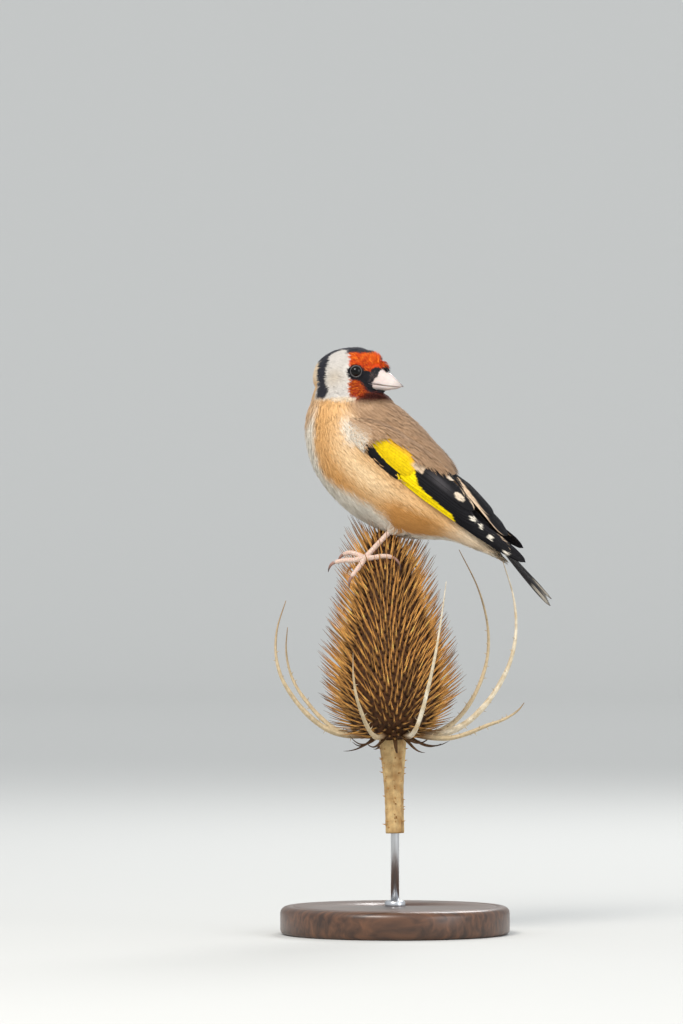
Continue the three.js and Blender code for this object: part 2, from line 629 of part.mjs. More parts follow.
const UP = new THREE.Vector3(0, 0, 1);
const neckTilt = new THREE.Vector3(0, 0, 1).applyAxisAngle(new THREE.Vector3(0, 1, 0), rad(NECK_BASE.tilt));
const aboveHeadCut = halfSpace(new THREE.Vector3(0, 0, NECK_TOP_Z), UP);
const aboveHeadCutLow = halfSpace(new THREE.Vector3(0, 0, NECK_TOP_Z - GAP), UP);
const aboveNeckCut = halfSpace(V(NECK_BASE.point), neckTilt);
const aboveNeckCutLow = halfSpace(V(NECK_BASE.point).addScaledVector(neckTilt, -GAP), neckTilt);

const eyes = { left: solid(eyeGeometry(1)), right: solid(eyeGeometry(-1)) };
const billUpper = solid(billGeometry(true)), billLower = solid(billGeometry(false));
const billCut = solid(billGeometry(true, FINE_GAP)).add(solid(billGeometry(false, FINE_GAP)));
let head = flesh.intersect(aboveHeadCut).subtract(solid(eyeGeometry(1, FINE_GAP))).subtract(solid(eyeGeometry(-1, FINE_GAP))).subtract(billCut);
let neck = flesh.subtract(aboveHeadCutLow).intersect(aboveNeckCut).subtract(billCut);
let trunk = flesh.subtract(aboveNeckCutLow).subtract(aboveHeadCutLow);

const wings = { left: solid(wingGeometry(1)), right: solid(wingGeometry(-1)) };
for (const side of [1, -1]) {
  const cut = solid(wingGeometry(side, GAP));
  trunk = trunk.subtract(cut);
  neck = neck.subtract(cut);
}
trunk = trunk.subtract(solid(tailGeometry(GAP)));
const tail = solid(tailGeometry()).subtract(solid(tailNotch()));

const bird = new THREE.Group();
bird.name = "goldfinch";
bird.position.set(...BODY_ORIGIN);
const perch = new THREE.Group();
perch.name = "perch";
perch.position.set(...TEASEL.axisLow);
const stand = new THREE.Group();
stand.name = "stand";

let teasel = solid(teaselGeometry());
const footFor = {};
for (const [name, side] of [["left", 1], ["right", -1]]) {
  const leg = LEGS[name];
  trunk = trunk.subtract(solid(thighGeometry(leg, GAP))).subtract(solid(tarsusGeometry(leg, GAP)));
  const tarsus = solid(tarsusGeometry(leg));
  let foot = solid(new THREE.SphereGeometry(TOE.base + 0.12, 8, 6).translate(...leg.foot));
  for (const toe of TOES[name]) foot = foot.add(solid(toeGeometry(leg, toe)));
  foot = foot.subtract(solid(tarsusGeometry(leg, FINE_GAP)));
  teasel = teasel.subtract(solid(new THREE.SphereGeometry(TOE.base + 0.12 + GAP, 8, 6).translate(...leg.foot)));
  for (const toe of TOES[name]) {
    const claw = solid(clawGeometry(leg, toe));
    foot = foot.subtract(solid(clawGeometry(leg, toe, FINE_GAP * 0.7)));
    teasel = teasel.subtract(solid(toeGeometry(leg, toe, GAP))).subtract(solid(clawGeometry(leg, toe, GAP)));
    bird.add(piece(`claw_${name}_${toe.name}`, claw, M.claw, BODY_ORIGIN));
  }
  const thigh = solid(thighGeometry(leg)).subtract(solid(tarsusGeometry(leg, FINE_GAP)));
  teasel = teasel.subtract(solid(thighGeometry(leg, GAP))).subtract(solid(tarsusGeometry(leg, GAP)));
  bird.add(piece(`thigh_${name}`, thigh, M.plumage, BODY_ORIGIN));
  bird.add(piece(`tarsus_${name}`, tarsus, M.leg, BODY_ORIGIN));
  bird.add(piece(`foot_${name}`, foot, M.leg, BODY_ORIGIN));
  bird.add(piece(`wing_${name}`, wings[name], M.wing, BODY_ORIGIN));
  bird.add(piece(`eye_${name}`, eyes[name], M.eye, BODY_ORIGIN));
}
// the crown of the teasel stays clear of the belly, and its foot clear of the stem
teasel = teasel.subtract(solid(bodyGeometry(GAP))).subtract(solid(stemGeometry(GAP)));

bird.add(piece("head", head, M.face, BODY_ORIGIN, 0.08));
bird.add(piece("neck", neck, M.plumage, BODY_ORIGIN));
bird.add(piece("trunk", trunk, M.plumage, BODY_ORIGIN, 0.1));
bird.add(piece("tail", tail, M.tail, BODY_ORIGIN));
bird.add(piece("bill_upper", billUpper, M.bill, BODY_ORIGIN));
bird.add(piece("bill_lower", billLower, M.bill, BODY_ORIGIN));

const bracts = BRACTS.map((b) => solid(bractGeometry(b)));
for (const b of BRACTS) teasel = teasel.subtract(solid(bractGeometry(b, GAP)));
const teaselClear = largest(teasel);
perch.add(piece("perch_teasel", teaselClear, M.teasel, TEASEL.axisLow, 0.15));
const stem = solid(stemGeometry()).subtract(solid(rodGeometry(ROD.play)));
bracts.forEach((b, i) => perch.add(piece(`perch_bract_${i + 1}`, b, M.bract, TEASEL.axisLow)));
perch.add(piece("perch_stem", stem, M.stem, TEASEL.axisLow));

stand.add(piece("stand_rod", solid(rodGeometry()), M.rod));
stand.add(piece("stand_base", solid(baseGeometry()).subtract(solid(rodGeometry(ROD.play))), M.base));

const model = new THREE.Group();
model.name = "goldfinch_on_teasel";
model.add(bird, perch, stand);

export default model;
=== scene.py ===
import math
import bpy
import numpy as np
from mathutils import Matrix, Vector
from mathutils.bvhtree import BVHTree


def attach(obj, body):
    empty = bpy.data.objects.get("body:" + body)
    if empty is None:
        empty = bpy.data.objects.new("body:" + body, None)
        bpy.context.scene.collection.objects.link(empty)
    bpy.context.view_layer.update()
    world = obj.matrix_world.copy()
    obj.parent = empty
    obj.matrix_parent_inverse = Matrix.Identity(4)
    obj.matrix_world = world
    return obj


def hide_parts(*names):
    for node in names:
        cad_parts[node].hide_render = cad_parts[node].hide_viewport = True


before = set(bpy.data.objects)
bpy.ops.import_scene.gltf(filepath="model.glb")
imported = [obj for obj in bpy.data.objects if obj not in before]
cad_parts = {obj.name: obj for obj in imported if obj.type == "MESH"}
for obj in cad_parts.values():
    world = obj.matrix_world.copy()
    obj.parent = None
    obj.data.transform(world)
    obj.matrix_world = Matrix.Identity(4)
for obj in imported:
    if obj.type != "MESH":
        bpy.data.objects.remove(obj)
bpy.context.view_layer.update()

MM = 0.001
rad = math.radians
rng = np.random.default_rng(11)

# Everything below is worked out in millimetres in the row frame, and turned into metres when a mesh is made.

# ------------------------------------------------------------------ the part's own sizes, as in its CAD
BODY_ORIGIN = np.array([1.8, 0.0, 167.5])
HEAD_CENTRE = np.array([-15.2, 6.5, 200.2])
BODY = np.array([
    (-49, 0.9, 1.4, 3.4), (-43, 0.4, 3.3, 5.2), (-36, -0.4, 5.6, 7.4), (-29, -1.0, 8.8, 10.0), (-22, -2.0, 13.0, 13.4),
    (-14, -3.4, 17.2, 16.8), (-5, -4.6, 19.2, 19.0), (5, -5.0, 20.2, 19.8), (14, -4.5, 20.0, 19.4), (22, -1.6, 18.6, 18.0),
    (29, 2.8, 15.4, 15.2), (34, 7.2, 12.0, 11.8), (37, 12.0, 8.6, 8.6)], float)
HEAD = np.array([
    (-13.4, -2.5, 1.9, 2.2), (-12.7, -2.3, 4.2, 4.4), (-10.4, -2.0, 7.0, 6.9), (-6.2, -1.3, 9.2, 8.6), (0.0, -0.7, 10.4, 9.0),
    (3.2, -0.6, 10.3, 8.0), (6.4, -0.7, 9.8, 5.8), (9.4, -1.0, 8.9, 3.6), (12.0, -1.6, 7.2, 2.4), (13.5, -2.1, 5.2, 1.6)], float)
WING = np.array([
    [(21, 15.6, 0.5), (21, 16.6, 3.5), (20, 14.6, 7.0)], [(9, 19.8, -0.6), (9, 19.6, 6.4), (9, 13.6, 12.4)],
    [(-7, 19.3, 0.2), (-7, 17.6, 7.8), (-7, 9.2, 14.4)], [(-23, 14.8, 1.7), (-23, 12.6, 7.6), (-23, 5.0, 12.5)],
    [(-40, 8.7, 3.0), (-40, 7.4, 6.8), (-40, 3.3, 10.4)], [(-60, 4.8, 7.0), (-60, 4.5, 7.7), (-60, 3.8, 8.3)]], float)
WING_THICK = (2.4, 1.1)
FAR_SHIFT = (6.0, 0.0, 1.4)
FAR_LOWER = 2.6
TAIL = dict(root=-31.0, tip=-75.4, roll=34.0, rootC=5.2, tipC=2.2, half=(2.8, 3.5, 4.3), notch=4.6)
EYE = dict(x=3.3, z=1.3, out=5.85, r=2.35)
BILL = dict(root=8.0, tip=19.9, top=6.2, gape=-2.4, bottom=-5.1, wu=3.9, wl=3.6, tu=0.86, tl=0.62, drop=-0.9, split=0.14)
LEGS = {"left": ((-1.8, -6.4, 143.9), (-10.9, -9.6, 134.3)), "right": ((3.4, 6.9, 143.9), (-4.6, 9.9, 133.6))}
THIGH = dict(length=7.0, top=3.9, bottom=1.55)
TOE = dict(base=1.0, end=0.72, claw=0.55, claw_tip=0.26)
TOES = {
    "left": [("hallux", (-12, -4, 6), (4, 8, -8), (3.4, 3.6, 3.0), 5.6, (-30, -80), 14),
             ("inner", (165, 160, 155), (26, 12, -16), (3.0, 3.0, 2.6), 3.8, (-40, -85), 152),
             ("middle", (186, 182, 178), (-10, -2, -12), (3.8, 3.6, 3.4), 3.9, (-34, -80), 174),
             ("outer", (222, 214, 206), (-52, -46, -50), (3.0, 3.0, 2.8), 3.7, (-66, -95), 196)],
    "right": [("hallux", (10, 2, -8), (2, 6, -10), (3.4, 3.6, 3.0), 5.6, (-32, -82), -16),
              ("inner", (196, 200, 204), (20, 6, -20), (3.0, 3.0, 2.6), 3.8, (-44, -85), 206),
              ("middle", (174, 178, 182), (-12, -8, -16), (3.8, 3.6, 3.4), 3.9, (-38, -82), 186),
              ("outer", (138, 144, 150), (-50, -46, -50), (3.0, 3.0, 2.8), 3.7, (-66, -95), 158)]}
AXIS_LOW, AXIS_HIGH = np.array([-0.8, 0.6, 69.0]), np.array([-3.9, 0.6, 146.0])
CORE = [(0.0, 3.6), (0.03, 9.5), (0.08, 14.4), (0.18, 17.2), (0.3, 17.2), (0.45, 15.4), (0.6, 12.6), (0.74, 10.2), (0.86, 7.6), (0.95, 4.4), (1.0, 1.2)]
SPINE = 7.6
BRACTS = [(-8, 44, 62, 14, 1.15), (-62, 22, 55, -8, 0.95), (30, 44, 66, 26, 0.9), (98, 30, 50, 9, 0.95),
          (150, 38, 38, 4, 0.9), (196, 42, 48, 12, 1.0), (250, 34, 30, 2, 0.9), (-26, 38, 12, -4, 0.85)]
BRACT_ROOT = (71.2, 12.6)


# ------------------------------------------------------------------ frames and curves
def unit(v):
    return v / np.maximum(np.linalg.norm(v, axis=-1, keepdims=True), 1e-9)


yaw, pitch = rad(22), rad(41.8)
F = np.array([-math.cos(pitch) * math.cos(yaw), math.cos(pitch) * math.sin(yaw), math.sin(pitch)])
L = np.array([-math.sin(yaw), -math.cos(yaw), 0.0])
D = np.cross(F, L)
hy, hp = rad(20), rad(10)
HF = np.array([math.cos(hp) * math.cos(hy), -math.cos(hp) * math.sin(hy), -math.sin(hp)])
HL = np.array([math.sin(hy), math.cos(hy), 0.0])
HU = np.cross(HF, HL)


def body(a, b, c):
    return BODY_ORIGIN + np.multiply.outer(np.asarray(a, float), F) + np.multiply.outer(np.asarray(b, float), L) + np.multiply.outer(np.asarray(c, float), D)


def head(x, y, z):
    return HEAD_CENTRE + np.multiply.outer(np.asarray(x, float), HF) + np.multiply.outer(np.asarray(y, float), HL) + np.multiply.outer(np.asarray(z, float), HU)


def to_body(p):
    q = p - BODY_ORIGIN
    return q @ F, q @ L, q @ D


def to_head(p):
    q = p - HEAD_CENTRE
    return q @ HF, q @ HL, q @ HU


def smooth(table, s):
    """Catmull-Rom through evenly numbered stations."""
    v = np.asarray(table, float)
    n = len(v) - 1
    s = np.asarray(s, float)
    i = np.clip(np.floor(s).astype(int), 0, n - 1)
    t = (s - i).reshape(s.shape + (1,) * (v.ndim - 1))
    p1, p2 = v[i], v[i + 1]
    p0 = np.where((i > 0).reshape(s.shape + (1,) * (v.ndim - 1)), v[np.maximum(i - 1, 0)], 2 * p1 - p2)
    p3 = np.where((i + 2 <= n).reshape(s.shape + (1,) * (v.ndim - 1)), v[np.minimum(i + 2, n)], 2 * p2 - p1)
    return 0.5 * (2 * p1 + (p2 - p0) * t + (2 * p0 - 5 * p1 + 4 * p2 - p3) * t * t + (3 * p1 - p0 - 3 * p2 + p3) * t ** 3)


def step(e0, e1, x):
    t = np.clip((x - e0) / (e1 - e0), 0, 1)
    return t * t * (3 - 2 * t)


def lerp(a, b, t):
    t = np.asarray(t)[..., None]
    return np.asarray(a) * (1 - t) + np.asarray(b) * t


def srgb(r, g, b):
    c = np.array([r, g, b], float) / 255
    return np.where(c <= 0.04045, c / 12.92, ((c + 0.055) / 1.055) ** 2.4)


def wobble(p, scale, seed=0):
    """Smooth noise from -1 to 1 at each point, from a few crossed sines."""
    q = p / scale
    out = np.zeros(len(q))
    r = np.random.default_rng(100 + seed)
    for k in range(6):
        w = r.normal(size=3) * (1.0 + 0.35 * k)
        out += np.sin(q @ w + r.uniform(0, 6.28)) / 6 * 1.6
    return np.clip(out, -1, 1)


# ------------------------------------------------------------------ making meshes
def make(name, verts, faces, color=None, uv=None, barb=None, smooth_shade=True, scale=MM):
    """faces is a list of integer arrays, each (n, 3) or (n, 4). uv is per vertex, or per loop in the order of faces."""
    me = bpy.data.meshes.new(name)
    verts = np.asarray(verts, float) * scale
    loops = np.concatenate([np.asarray(f).reshape(-1) for f in faces]).astype(np.int32)
    sizes = np.concatenate([np.full(len(f), np.asarray(f).shape[1], np.int32) for f in faces])
    starts = np.concatenate([[0], np.cumsum(sizes)[:-1]]).astype(np.int32)
    me.vertices.add(len(verts))
    me.vertices.foreach_set("co", verts.astype(np.float32).reshape(-1))
    me.loops.add(len(loops))
    me.loops.foreach_set("vertex_index", loops)
    me.polygons.add(len(sizes))
    me.polygons.foreach_set("loop_start", starts)
    me.update(calc_edges=True)
    if color is not None:
        at = me.color_attributes.new("Col", "FLOAT_COLOR", "POINT")
        c = np.ones((len(verts), 4), np.float32)
        c[:, :3] = np.clip(color, 0, 1)
        at.data.foreach_set("color", c.reshape(-1))
    if barb is not None:
        at = me.attributes.new("barb", "FLOAT", "POINT")
        at.data.foreach_set("value", np.asarray(barb, np.float32))
    if uv is not None:
        layer = me.uv_layers.new(name="OFBake")
        u = np.asarray(uv, np.float32)
        if len(u) == len(verts):
            u = u[loops]
        layer.data.foreach_set("uv", u.reshape(-1))
    me.polygons.foreach_set("use_smooth", np.full(len(sizes), smooth_shade))
    me.validate()
    ob = bpy.data.objects.new(name, me)
    bpy.context.scene.collection.objects.link(ob)
    return ob


def place(ob, material, slot, *nodes):
    ob.data.materials.clear()
    ob.data.materials.append(material)
    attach(ob, "root")
    if nodes:
        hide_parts(*nodes)
    return ob


def ring_faces(rings, sides, offset=0, cap=True):
    i = np.arange(rings - 1)[:, None] * sides
    j = np.arange(sides)[None, :]
    a, b = i + j, i + (j + 1) % sides
    quads = np.stack([a, b, b + sides, a + sides], -1).reshape(-1, 4) + offset
    return quads


def loft(rings):
    """Closed loft: rings is (n, m, 3). Both ends are fanned to their middles."""
    n, m = rings.shape[:2]
    verts = np.concatenate([rings.reshape(-1, 3), rings[0].mean(0)[None], rings[-1].mean(0)[None]])
    j = np.arange(m)
    low = np.stack([np.full(m, n * m), (j + 1) % m, j], -1)
    top = np.stack([np.full(m, n * m + 1), (n - 1) * m + j, (n - 1) * m + (j + 1) % m], -1)
    return verts, [ring_faces(n, m), np.concatenate([low, top])]


def merge(parts):
    """Joins (verts, faces, extra...) tuples; extras are per-vertex arrays."""
    verts, quads, tris, extras, k = [], [], [], [], 0
    for p in parts:
        verts.append(p[0])
        for f in p[1]:
            (quads if f.shape[1] == 4 else tris).append(f + k)
        extras.append(p[2:])
        k += len(p[0])
    faces = []
    if quads:
        faces.append(np.concatenate(quads))
    if tris:
        faces.append(np.concatenate(tris))
    return (np.concatenate(verts), faces) + tuple(np.concatenate(e) for e in zip(*extras))


def resample(points, n):
    points = np.asarray(points, float)
    return smooth(points, np.linspace(0, len(points) - 1, n))


def sweep(path, radii, sides=12, squash=None, shape=None):
    """Tube along a path with parallel frames. radii per ring; shape(i, angle) scales the radius. Returns rings."""
    path = np.asarray(path, float)
    t = unit(np.gradient(path, axis=0))
    up = np.array([0, 0, 1.0]) if abs(t[0][2]) < 0.9 else np.array([1.0, 0, 0])
    u = unit(np.cross(up, t[0]))
    us = [u]
    for k in range(1, len(path)):
        u = us[-1] - t[k] * (us[-1] @ t[k])
        us.append(unit(u))
    us = np.array(us)
    vs = np.cross(t, us)
    ang = np.arange(sides) * 2 * math.pi / sides
    rr = np.asarray(radii, float)[:, None] * np.ones(sides)
    if shape is not None:
        rr = rr * shape(np.linspace(0, 1, len(path))[:, None], ang[None, :])
    sq = 1.0 if squash is None else squash
    return path[:, None] + rr[..., None] * (np.cos(ang)[None, :, None] * us[:, None] + sq * np.sin(ang)[None, :, None] * vs[:, None])


# ------------------------------------------------------------------ surfaces of the bird
def body_rings(inset, n=64, m=72):
    s = np.linspace(0, len(BODY) - 1, n)
    v = smooth(BODY, s)
    dv = smooth(BODY, s + 0.02) - smooth(BODY, s - 0.02)
    ln = np.hypot(dv[:, 0], dv[:, 1])
    na, nc = -dv[:, 1] / ln, dv[:, 0] / ln
    f = np.arange(m) * 2 * math.pi / m
    h = np.maximum(v[:, 2] - inset, 0.5)
    w = np.maximum(v[:, 3] - inset, 0.5)
    a = v[:, 0, None] + na[:, None] * h[:, None] * np.sin(f)
    c = v[:, 1, None] + nc[:, None] * h[:, None] * np.sin(f)
    return body(a, w[:, None] * np.cos(f), c)


def head_rings(inset, n=48, m=64):
    s = np.linspace(0, len(HEAD) - 1, n)
    v = smooth(HEAD, s)
    f = np.arange(m) * 2 * math.pi / m
    h, w = np.maximum(v[:, 2] - inset, 0.4), np.maximum(v[:, 3] - inset, 0.4)
    x = np.clip(v[:, 0], HEAD[0, 0] + inset, HEAD[-1, 0] - inset)
    return head(x[:, None] + 0 * f, w[:, None] * np.cos(f), v[:, 1, None] + h[:, None] * np.sin(f))


def wing_abc(s, q, side):
    v = smooth(WING, s)
    q = np.asarray(q)[..., None]
    p = 2 * (q - 0.5) * (q - 1) * v[..., 0, :] + 4 * q * (1 - q) * v[..., 1, :] + 2 * q * (q - 0.5) * v[..., 2, :]
    if side < 0:
        t = s / (len(WING) - 1)
        p = p.copy()
        p[..., 0] += FAR_SHIFT[0] * t
        p[..., 2] += FAR_SHIFT[2] * t - FAR_LOWER * np.sin(math.pi * np.minimum(1, t * 1.05)) * (0.4 + 0.6 * q[..., 0])
    return p


def wing(s, q, side):
    p = wing_abc(s, q, side)
    return body(p[..., 0], side * p[..., 1], p[..., 2])


def wing_normal(s, q, side):
    e = 0.03
    du = wing(s + e, q, side) - wing(s - e, q, side)
    dv = wing(s, q + e, side) - wing(s, q - e, side)
    n = unit(np.cross(du, dv))
    return n * np.where((n @ L) * side < 0, -1.0, 1.0)[..., None]


def leg_dir(side):
    h, f = (np.array(v) for v in LEGS[side])
    return unit(f - h)


THIGH_DIR = unit(-0.35 * F + 0.94 * D)


def bearing(heading, climb):
    h, c = rad(heading), rad(climb)
    return np.array([math.cos(c) * math.cos(h), math.cos(c) * math.sin(h), math.sin(c)])


def toe_path(side, toe):
    p = [np.array(LEGS[side][1])]
    for h, c, ln in zip(toe[1], toe[2], toe[3]):
        p.append(p[-1] + bearing(h, c) * ln)
    return np.array(p)


def claw_path(side, toe):
    p = toe_path(side, toe)[-1]
    d0 = bearing(toe[1][-1], toe[2][-1])
    p = p + d0 * (TOE["end"] * 0.55 - 0.25)
    out = [p]
    p = p + d0 * 0.4
    for i in range(1, 5):
        p = p + bearing(toe[6], toe[5][0] + (toe[5][1] - toe[5][0]) * i / 4) * toe[4] / 4
        out.append(p)
    return np.array(out)


# ------------------------------------------------------------------ markings: one set of rules for skin, coat and wing
BLACK = srgb(26, 25, 30)
CROWN = srgb(38, 38, 46)
RED_UP = srgb(196, 62, 2)
RED_LOW = srgb(154, 52, 0)
CHEEK = srgb(206, 200, 193)
CHEEK_BUFF = srgb(200, 188, 172)
CREAM = srgb(226, 206, 178)
BUFF = srgb(216, 168, 112)
BUFF_DEEP = srgb(204, 146, 78)
WHITE = srgb(226, 217, 201)
MANTLE = srgb(174, 142, 112)
MANTLE_DARK = srgb(156, 122, 91)
YELLOW = srgb(224, 190, 0)
WING_BLACK = srgb(18, 17, 20)
WING_CREAM = srgb(212, 188, 160)


def head_colour(x, y, z, n):
    """Head pattern in the head's own frame; n is noise that frays the edges."""
    ay = np.abs(y)
    x = x + 0.35 * n
    z = z + 0.25 * n
    col = lerp(CHEEK, CHEEK_BUFF, np.exp(-((x + 3.0) / 3.2) ** 2 - ((z + 2.4) / 3.0) ** 2))
    # buff nape, and the cream edge under the cheek
    nape = step(-9.6, -10.6, x) * step(2.6, 0.8, z)
    col = lerp(col, lerp(srgb(206, 168, 124), srgb(214, 192, 164), step(-6, -3, z)), np.maximum(nape, step(0.35, -0.35, x - np.interp(z, [-9.0, -6.0, -2.0, 3.0], [-9.2, -9.7, -10.2, -10.8])) * step(2.6, 0.8, z)))
    col = lerp(col, CREAM, step(0.5, -0.7, z - np.interp(x, [-8, -4, 2.5, 8], [-10.6, -10.0, -8.2, -8.0])) * (1 - nape))
    # red mask
    xr = np.interp(z, [-7.5, -6.5, -4.3, -1.9, 2.0, 4.0, 6.3, 8.5], [4.4, 3.6, 2.7, 2.2, 1.2, 0.7, -0.1, -0.9])
    red = step(-0.35, 0.35, x - xr) * np.maximum(step(-8.3, -7.5, z), step(6.2, 7.4, x))
    # the red is lighter above and darker below: painted light and shade on the red mask
    shade = step(-1.5, 1.0, z)
    base = lerp(RED_LOW, RED_UP, shade)
    base = lerp(base, srgb(236, 126, 30), step(0.25, 0.75, n) * 0.65)
    base = lerp(base, srgb(112, 26, 4), step(-0.25, -0.80, n) * (0.50 + 0.35 * (1 - shade)))
    wb = wobble(np.stack([x, 0.6 * y, z], 1), 1.3, 31)
    base = lerp(base, srgb(230, 118, 26), step(0.2, 0.8, wb) * 0.32)
    base = lerp(base, srgb(136, 24, 2), step(-0.10, -0.70, wb) * 0.55)
    col = lerp(col, base, red)
    # black crown and the stripe behind the cheek
    yb = np.interp(x, [-1.0, 2.3, 4.5, 6.3, 7.2], [5.3, 4.1, 2.6, 1.6, -0.5])
    crown = step(0.35, -0.35, ay - yb) * (z > 2) * (x > -1.2)
    zc = np.interp(x, [-12.5, -7.6, -6.8, -3.8, -1.0], [1.6, 2.6, 5.4, 7.4, 7.6])
    crown = np.maximum(crown, step(-0.35, 0.35, z - zc) * (x <= -0.8))
    zs = np.interp(z, [-10.8, -9.3, -7.8, -7.1, -6.4, -5.7, -4.5, -3.3, 0.25, 3.0], [-5.3, -4.3, -3.6, -3.5, -4.3, -5.0, -5.7, -6.2, -6.8, -6.5])
    xb = np.interp(z, [-9.0, -7.0, -5.0, -2.0, 3.0], [-8.5, -9.0, -9.6, -10.2, -10.8])
    stripe = step(0.4, -0.4, x - zs) * step(-0.35, 0.35, x - xb) * step(-11.2, -9.6, z) * (z < 3.4)
    col = lerp(col, CROWN, np.maximum(crown, stripe))
    # black lores, round the eye and round the root of the bill
    zu = np.interp(x, [4.0, 6.7, 7.9, 10.4, 11.6, 13], [2.6, 2.2, 2.2, 3.9, 4.5, 4.4])
    zl = np.interp(x, [2.0, 5.0, 7.3, 8.1, 10.0], [-1.2, -1.7, -3.9, -4.8, -5.6])
    lores = step(0.3, -0.3, z - zu) * step(-0.3, 0.3, z - zl) * step(3.6, 4.4, x)
    de = np.hypot(x - EYE["x"] - 0.1, z - EYE["z"] + 0.25)
    ring = step(2.95, 2.55, de) * (ay > 4)
    col = lerp(col, BLACK, np.maximum(lores, ring))
    chin = np.maximum(step(9.2, 11.0, x) * step(-4.2, -4.9, z) * 0.85, step(6.5, 8.4, x) * step(-7.2, -8.2, z) * 0.95)
    col = lerp(col, srgb(70, 24, 18), chin)
    return col


def body_angle(a, b, c):
    s = np.interp(a, BODY[:, 0], np.arange(len(BODY)))
    v = smooth(BODY, s)
    return np.degrees(np.arctan2((c - v[:, 1]) / v[:, 2], np.abs(b) / v[:, 3])), s


def body_colour(a, b, c, n):
    phi, s = body_angle(a, b, c)
    phi = phi + 4 * n
    col = np.tile(BUFF, (len(a), 1))
    # breast patch, warmer, low on the front of the flank
    patch = np.exp(-((a - 9) / 10) ** 2 - ((phi + 33) / 15) ** 2) + 0.45 * np.exp(-((a - 27) / 8) ** 2 - ((phi + 18) / 18) ** 2)
    col = lerp(col, BUFF_DEEP, np.clip(patch * 0.8, 0, 1))
    # paler flank under the wing, and buff-white vent
    pale = np.exp(-((a - 3) / 17) ** 2 - ((phi + 5) / 13) ** 2)
    col = lerp(col, srgb(238, 207, 163), np.clip(pale * 0.9, 0, 1))
    col = lerp(col, BUFF_DEEP * np.array([0.80, 0.74, 0.62]), step(-4, -14, a) * step(-34, -22, a) * step(2, -18, phi) * 0.9)
    col = lerp(col, CREAM, step(-26, -38, a) * 0.85)
    # white middle of belly and breast, and cream throat
    edge = np.interp(a, [-40, -28, -19, -12, -4, 4, 10, 16, 22, 28, 36], [-44, -58, -62, -39, -31, -35, -42, -49, -45, -40, -36])
    col = lerp(col, WHITE, step(8, -8, phi - edge))
    col = lerp(col, srgb(206, 160, 110), step(30, 35, a) * step(20, 0, phi) * 0.85)
    # brown mantle, and the pale ruffle in front of the wing
    mantle_edge = np.interp(a, [-40, -20, 0, 12, 20, 26, 34], [36, 28, 18, 20, 25, 24, 20])
    mantle = step(-11, 10, phi - mantle_edge)
    col = lerp(col, lerp(MANTLE, MANTLE_DARK, 0.5 + 0.5 * n), mantle)
    ruffle = np.exp(-((a - 17.5) / 4.6) ** 2 - ((phi - 13) / 9) ** 2)
    col = lerp(col, WHITE, np.clip(ruffle * 1.3, 0, 0.9))
    # pale rump
    col = lerp(col, CREAM, step(-20, -27, a) * step(30, 50, phi) * 0.8)
    return col


SPOTS = [(2.80, 0.84, 0.10, 0.045), (3.26, 0.69, 0.13, 0.085), (3.78, 0.47, 0.085, 0.095), (4.01, 0.42, 0.045, 0.085),
         (4.26, 0.30, 0.045, 0.10), (4.64, 0.12, 0.045, 0.12)]


def wing_colour(s, q, n=0.0, last=5.0):
    """Pattern of the folded wing over its chart: s from wrist to tip, q from the lower edge to the back."""
    s = s + 0.03 * n
    col = np.tile(WING_BLACK, (len(s), 1))
    top = np.interp(s, [1.0, 1.12, 1.34, 1.92, 2.12, 2.22], [0.46, 0.62, 0.80, 0.80, 0.62, 0.42])
    low = np.interp(s, [1.0, 1.2, 1.4, 1.99, 2.10], [0.34, 0.26, 0.20, 0.15, 0.10])
    patch = (s > 1.02) & (s < 2.24) & (q < top) & (q > low)
    bar_top = np.interp(s, [2.02, 2.28, 2.48, 2.89, 3.46, 3.56], [0.50, 0.38, 0.23, 0.17, 0.14, -0.02])
    bar_low = np.interp(s, [1.98, 2.08, 2.2], [0.12, 0.03, -0.2])
    bar = (s > 2.02) & (q < bar_top) & (q > bar_low)
    col[patch] = YELLOW
    # the bar is a brighter yellow than the patch: painted light, to make up for the shade it sits in, facing down
    col[bar] = srgb(242, 212, 0)
    # orange wash where the yellow meets the back
    wash = (patch | bar) * step(0.20, 0.02, top - q) * (s < 2.0)
    col = lerp(col, srgb(238, 170, 40), wash * 0.6)
    cream = (s > 1.98 + 0.25 * np.abs(q - 0.6)) & (s < 2.36) & (q > 0.47) & (q < 0.84)
    col[cream] = lerp(WING_CREAM, MANTLE, 0.25)
    # painted sheen: a grey highlight on the closed blades
    painted_sheen = np.exp(-((q - 0.62) / 0.10) ** 2 - ((s - 2.75) / 0.32) ** 2)
    col = lerp(col, srgb(92, 88, 90), np.clip(painted_sheen * 0.5, 0, 1) * (col[:, 0] < 0.03))
    for ss, qq, ds, dq in SPOTS:
        if ss > last:
            continue
        d = ((s - ss) / ds) ** 2 + ((q - qq - 0.10 * (s - ss)) / dq) ** 2
        col = lerp(col, WHITE * 0.94 if ss > 3.6 else lerp(WING_CREAM, WHITE, 0.35), step(1.15, 0.8, d))
    strip = np.interp(s, [2.9, 3.21, 3.73, 4.33, 4.6], [1.02, 0.95, 0.87, 0.73, 0.62])
    wide = np.interp(s, [2.8, 3.2, 4.0, 4.5, 4.7], [0.0, 0.055, 0.06, 0.03, 0.0])
    col = lerp(col, lerp(WING_CREAM, MANTLE, 0.3), step(1.2, 0.8, np.abs(q - strip) / np.maximum(wide, 1e-3)) * (s > 2.85) * (s < 4.7))
    return col


# ------------------------------------------------------------------ materials
def material(name, rough=0.6, **sockets):
    m = bpy.data.materials.new(name)
    m.use_nodes = True
    b = m.node_tree.nodes["Principled BSDF"]
    b.inputs["Roughness"].default_value = rough
    for k, v in sockets.items():
        b.inputs[k.replace("_", " ")].default_value = v
    return m, m.node_tree, b


def node(tree, kind, **props):
    n = tree.nodes.new(kind)
    for k, v in props.items():
        setattr(n, k, v)
    return n


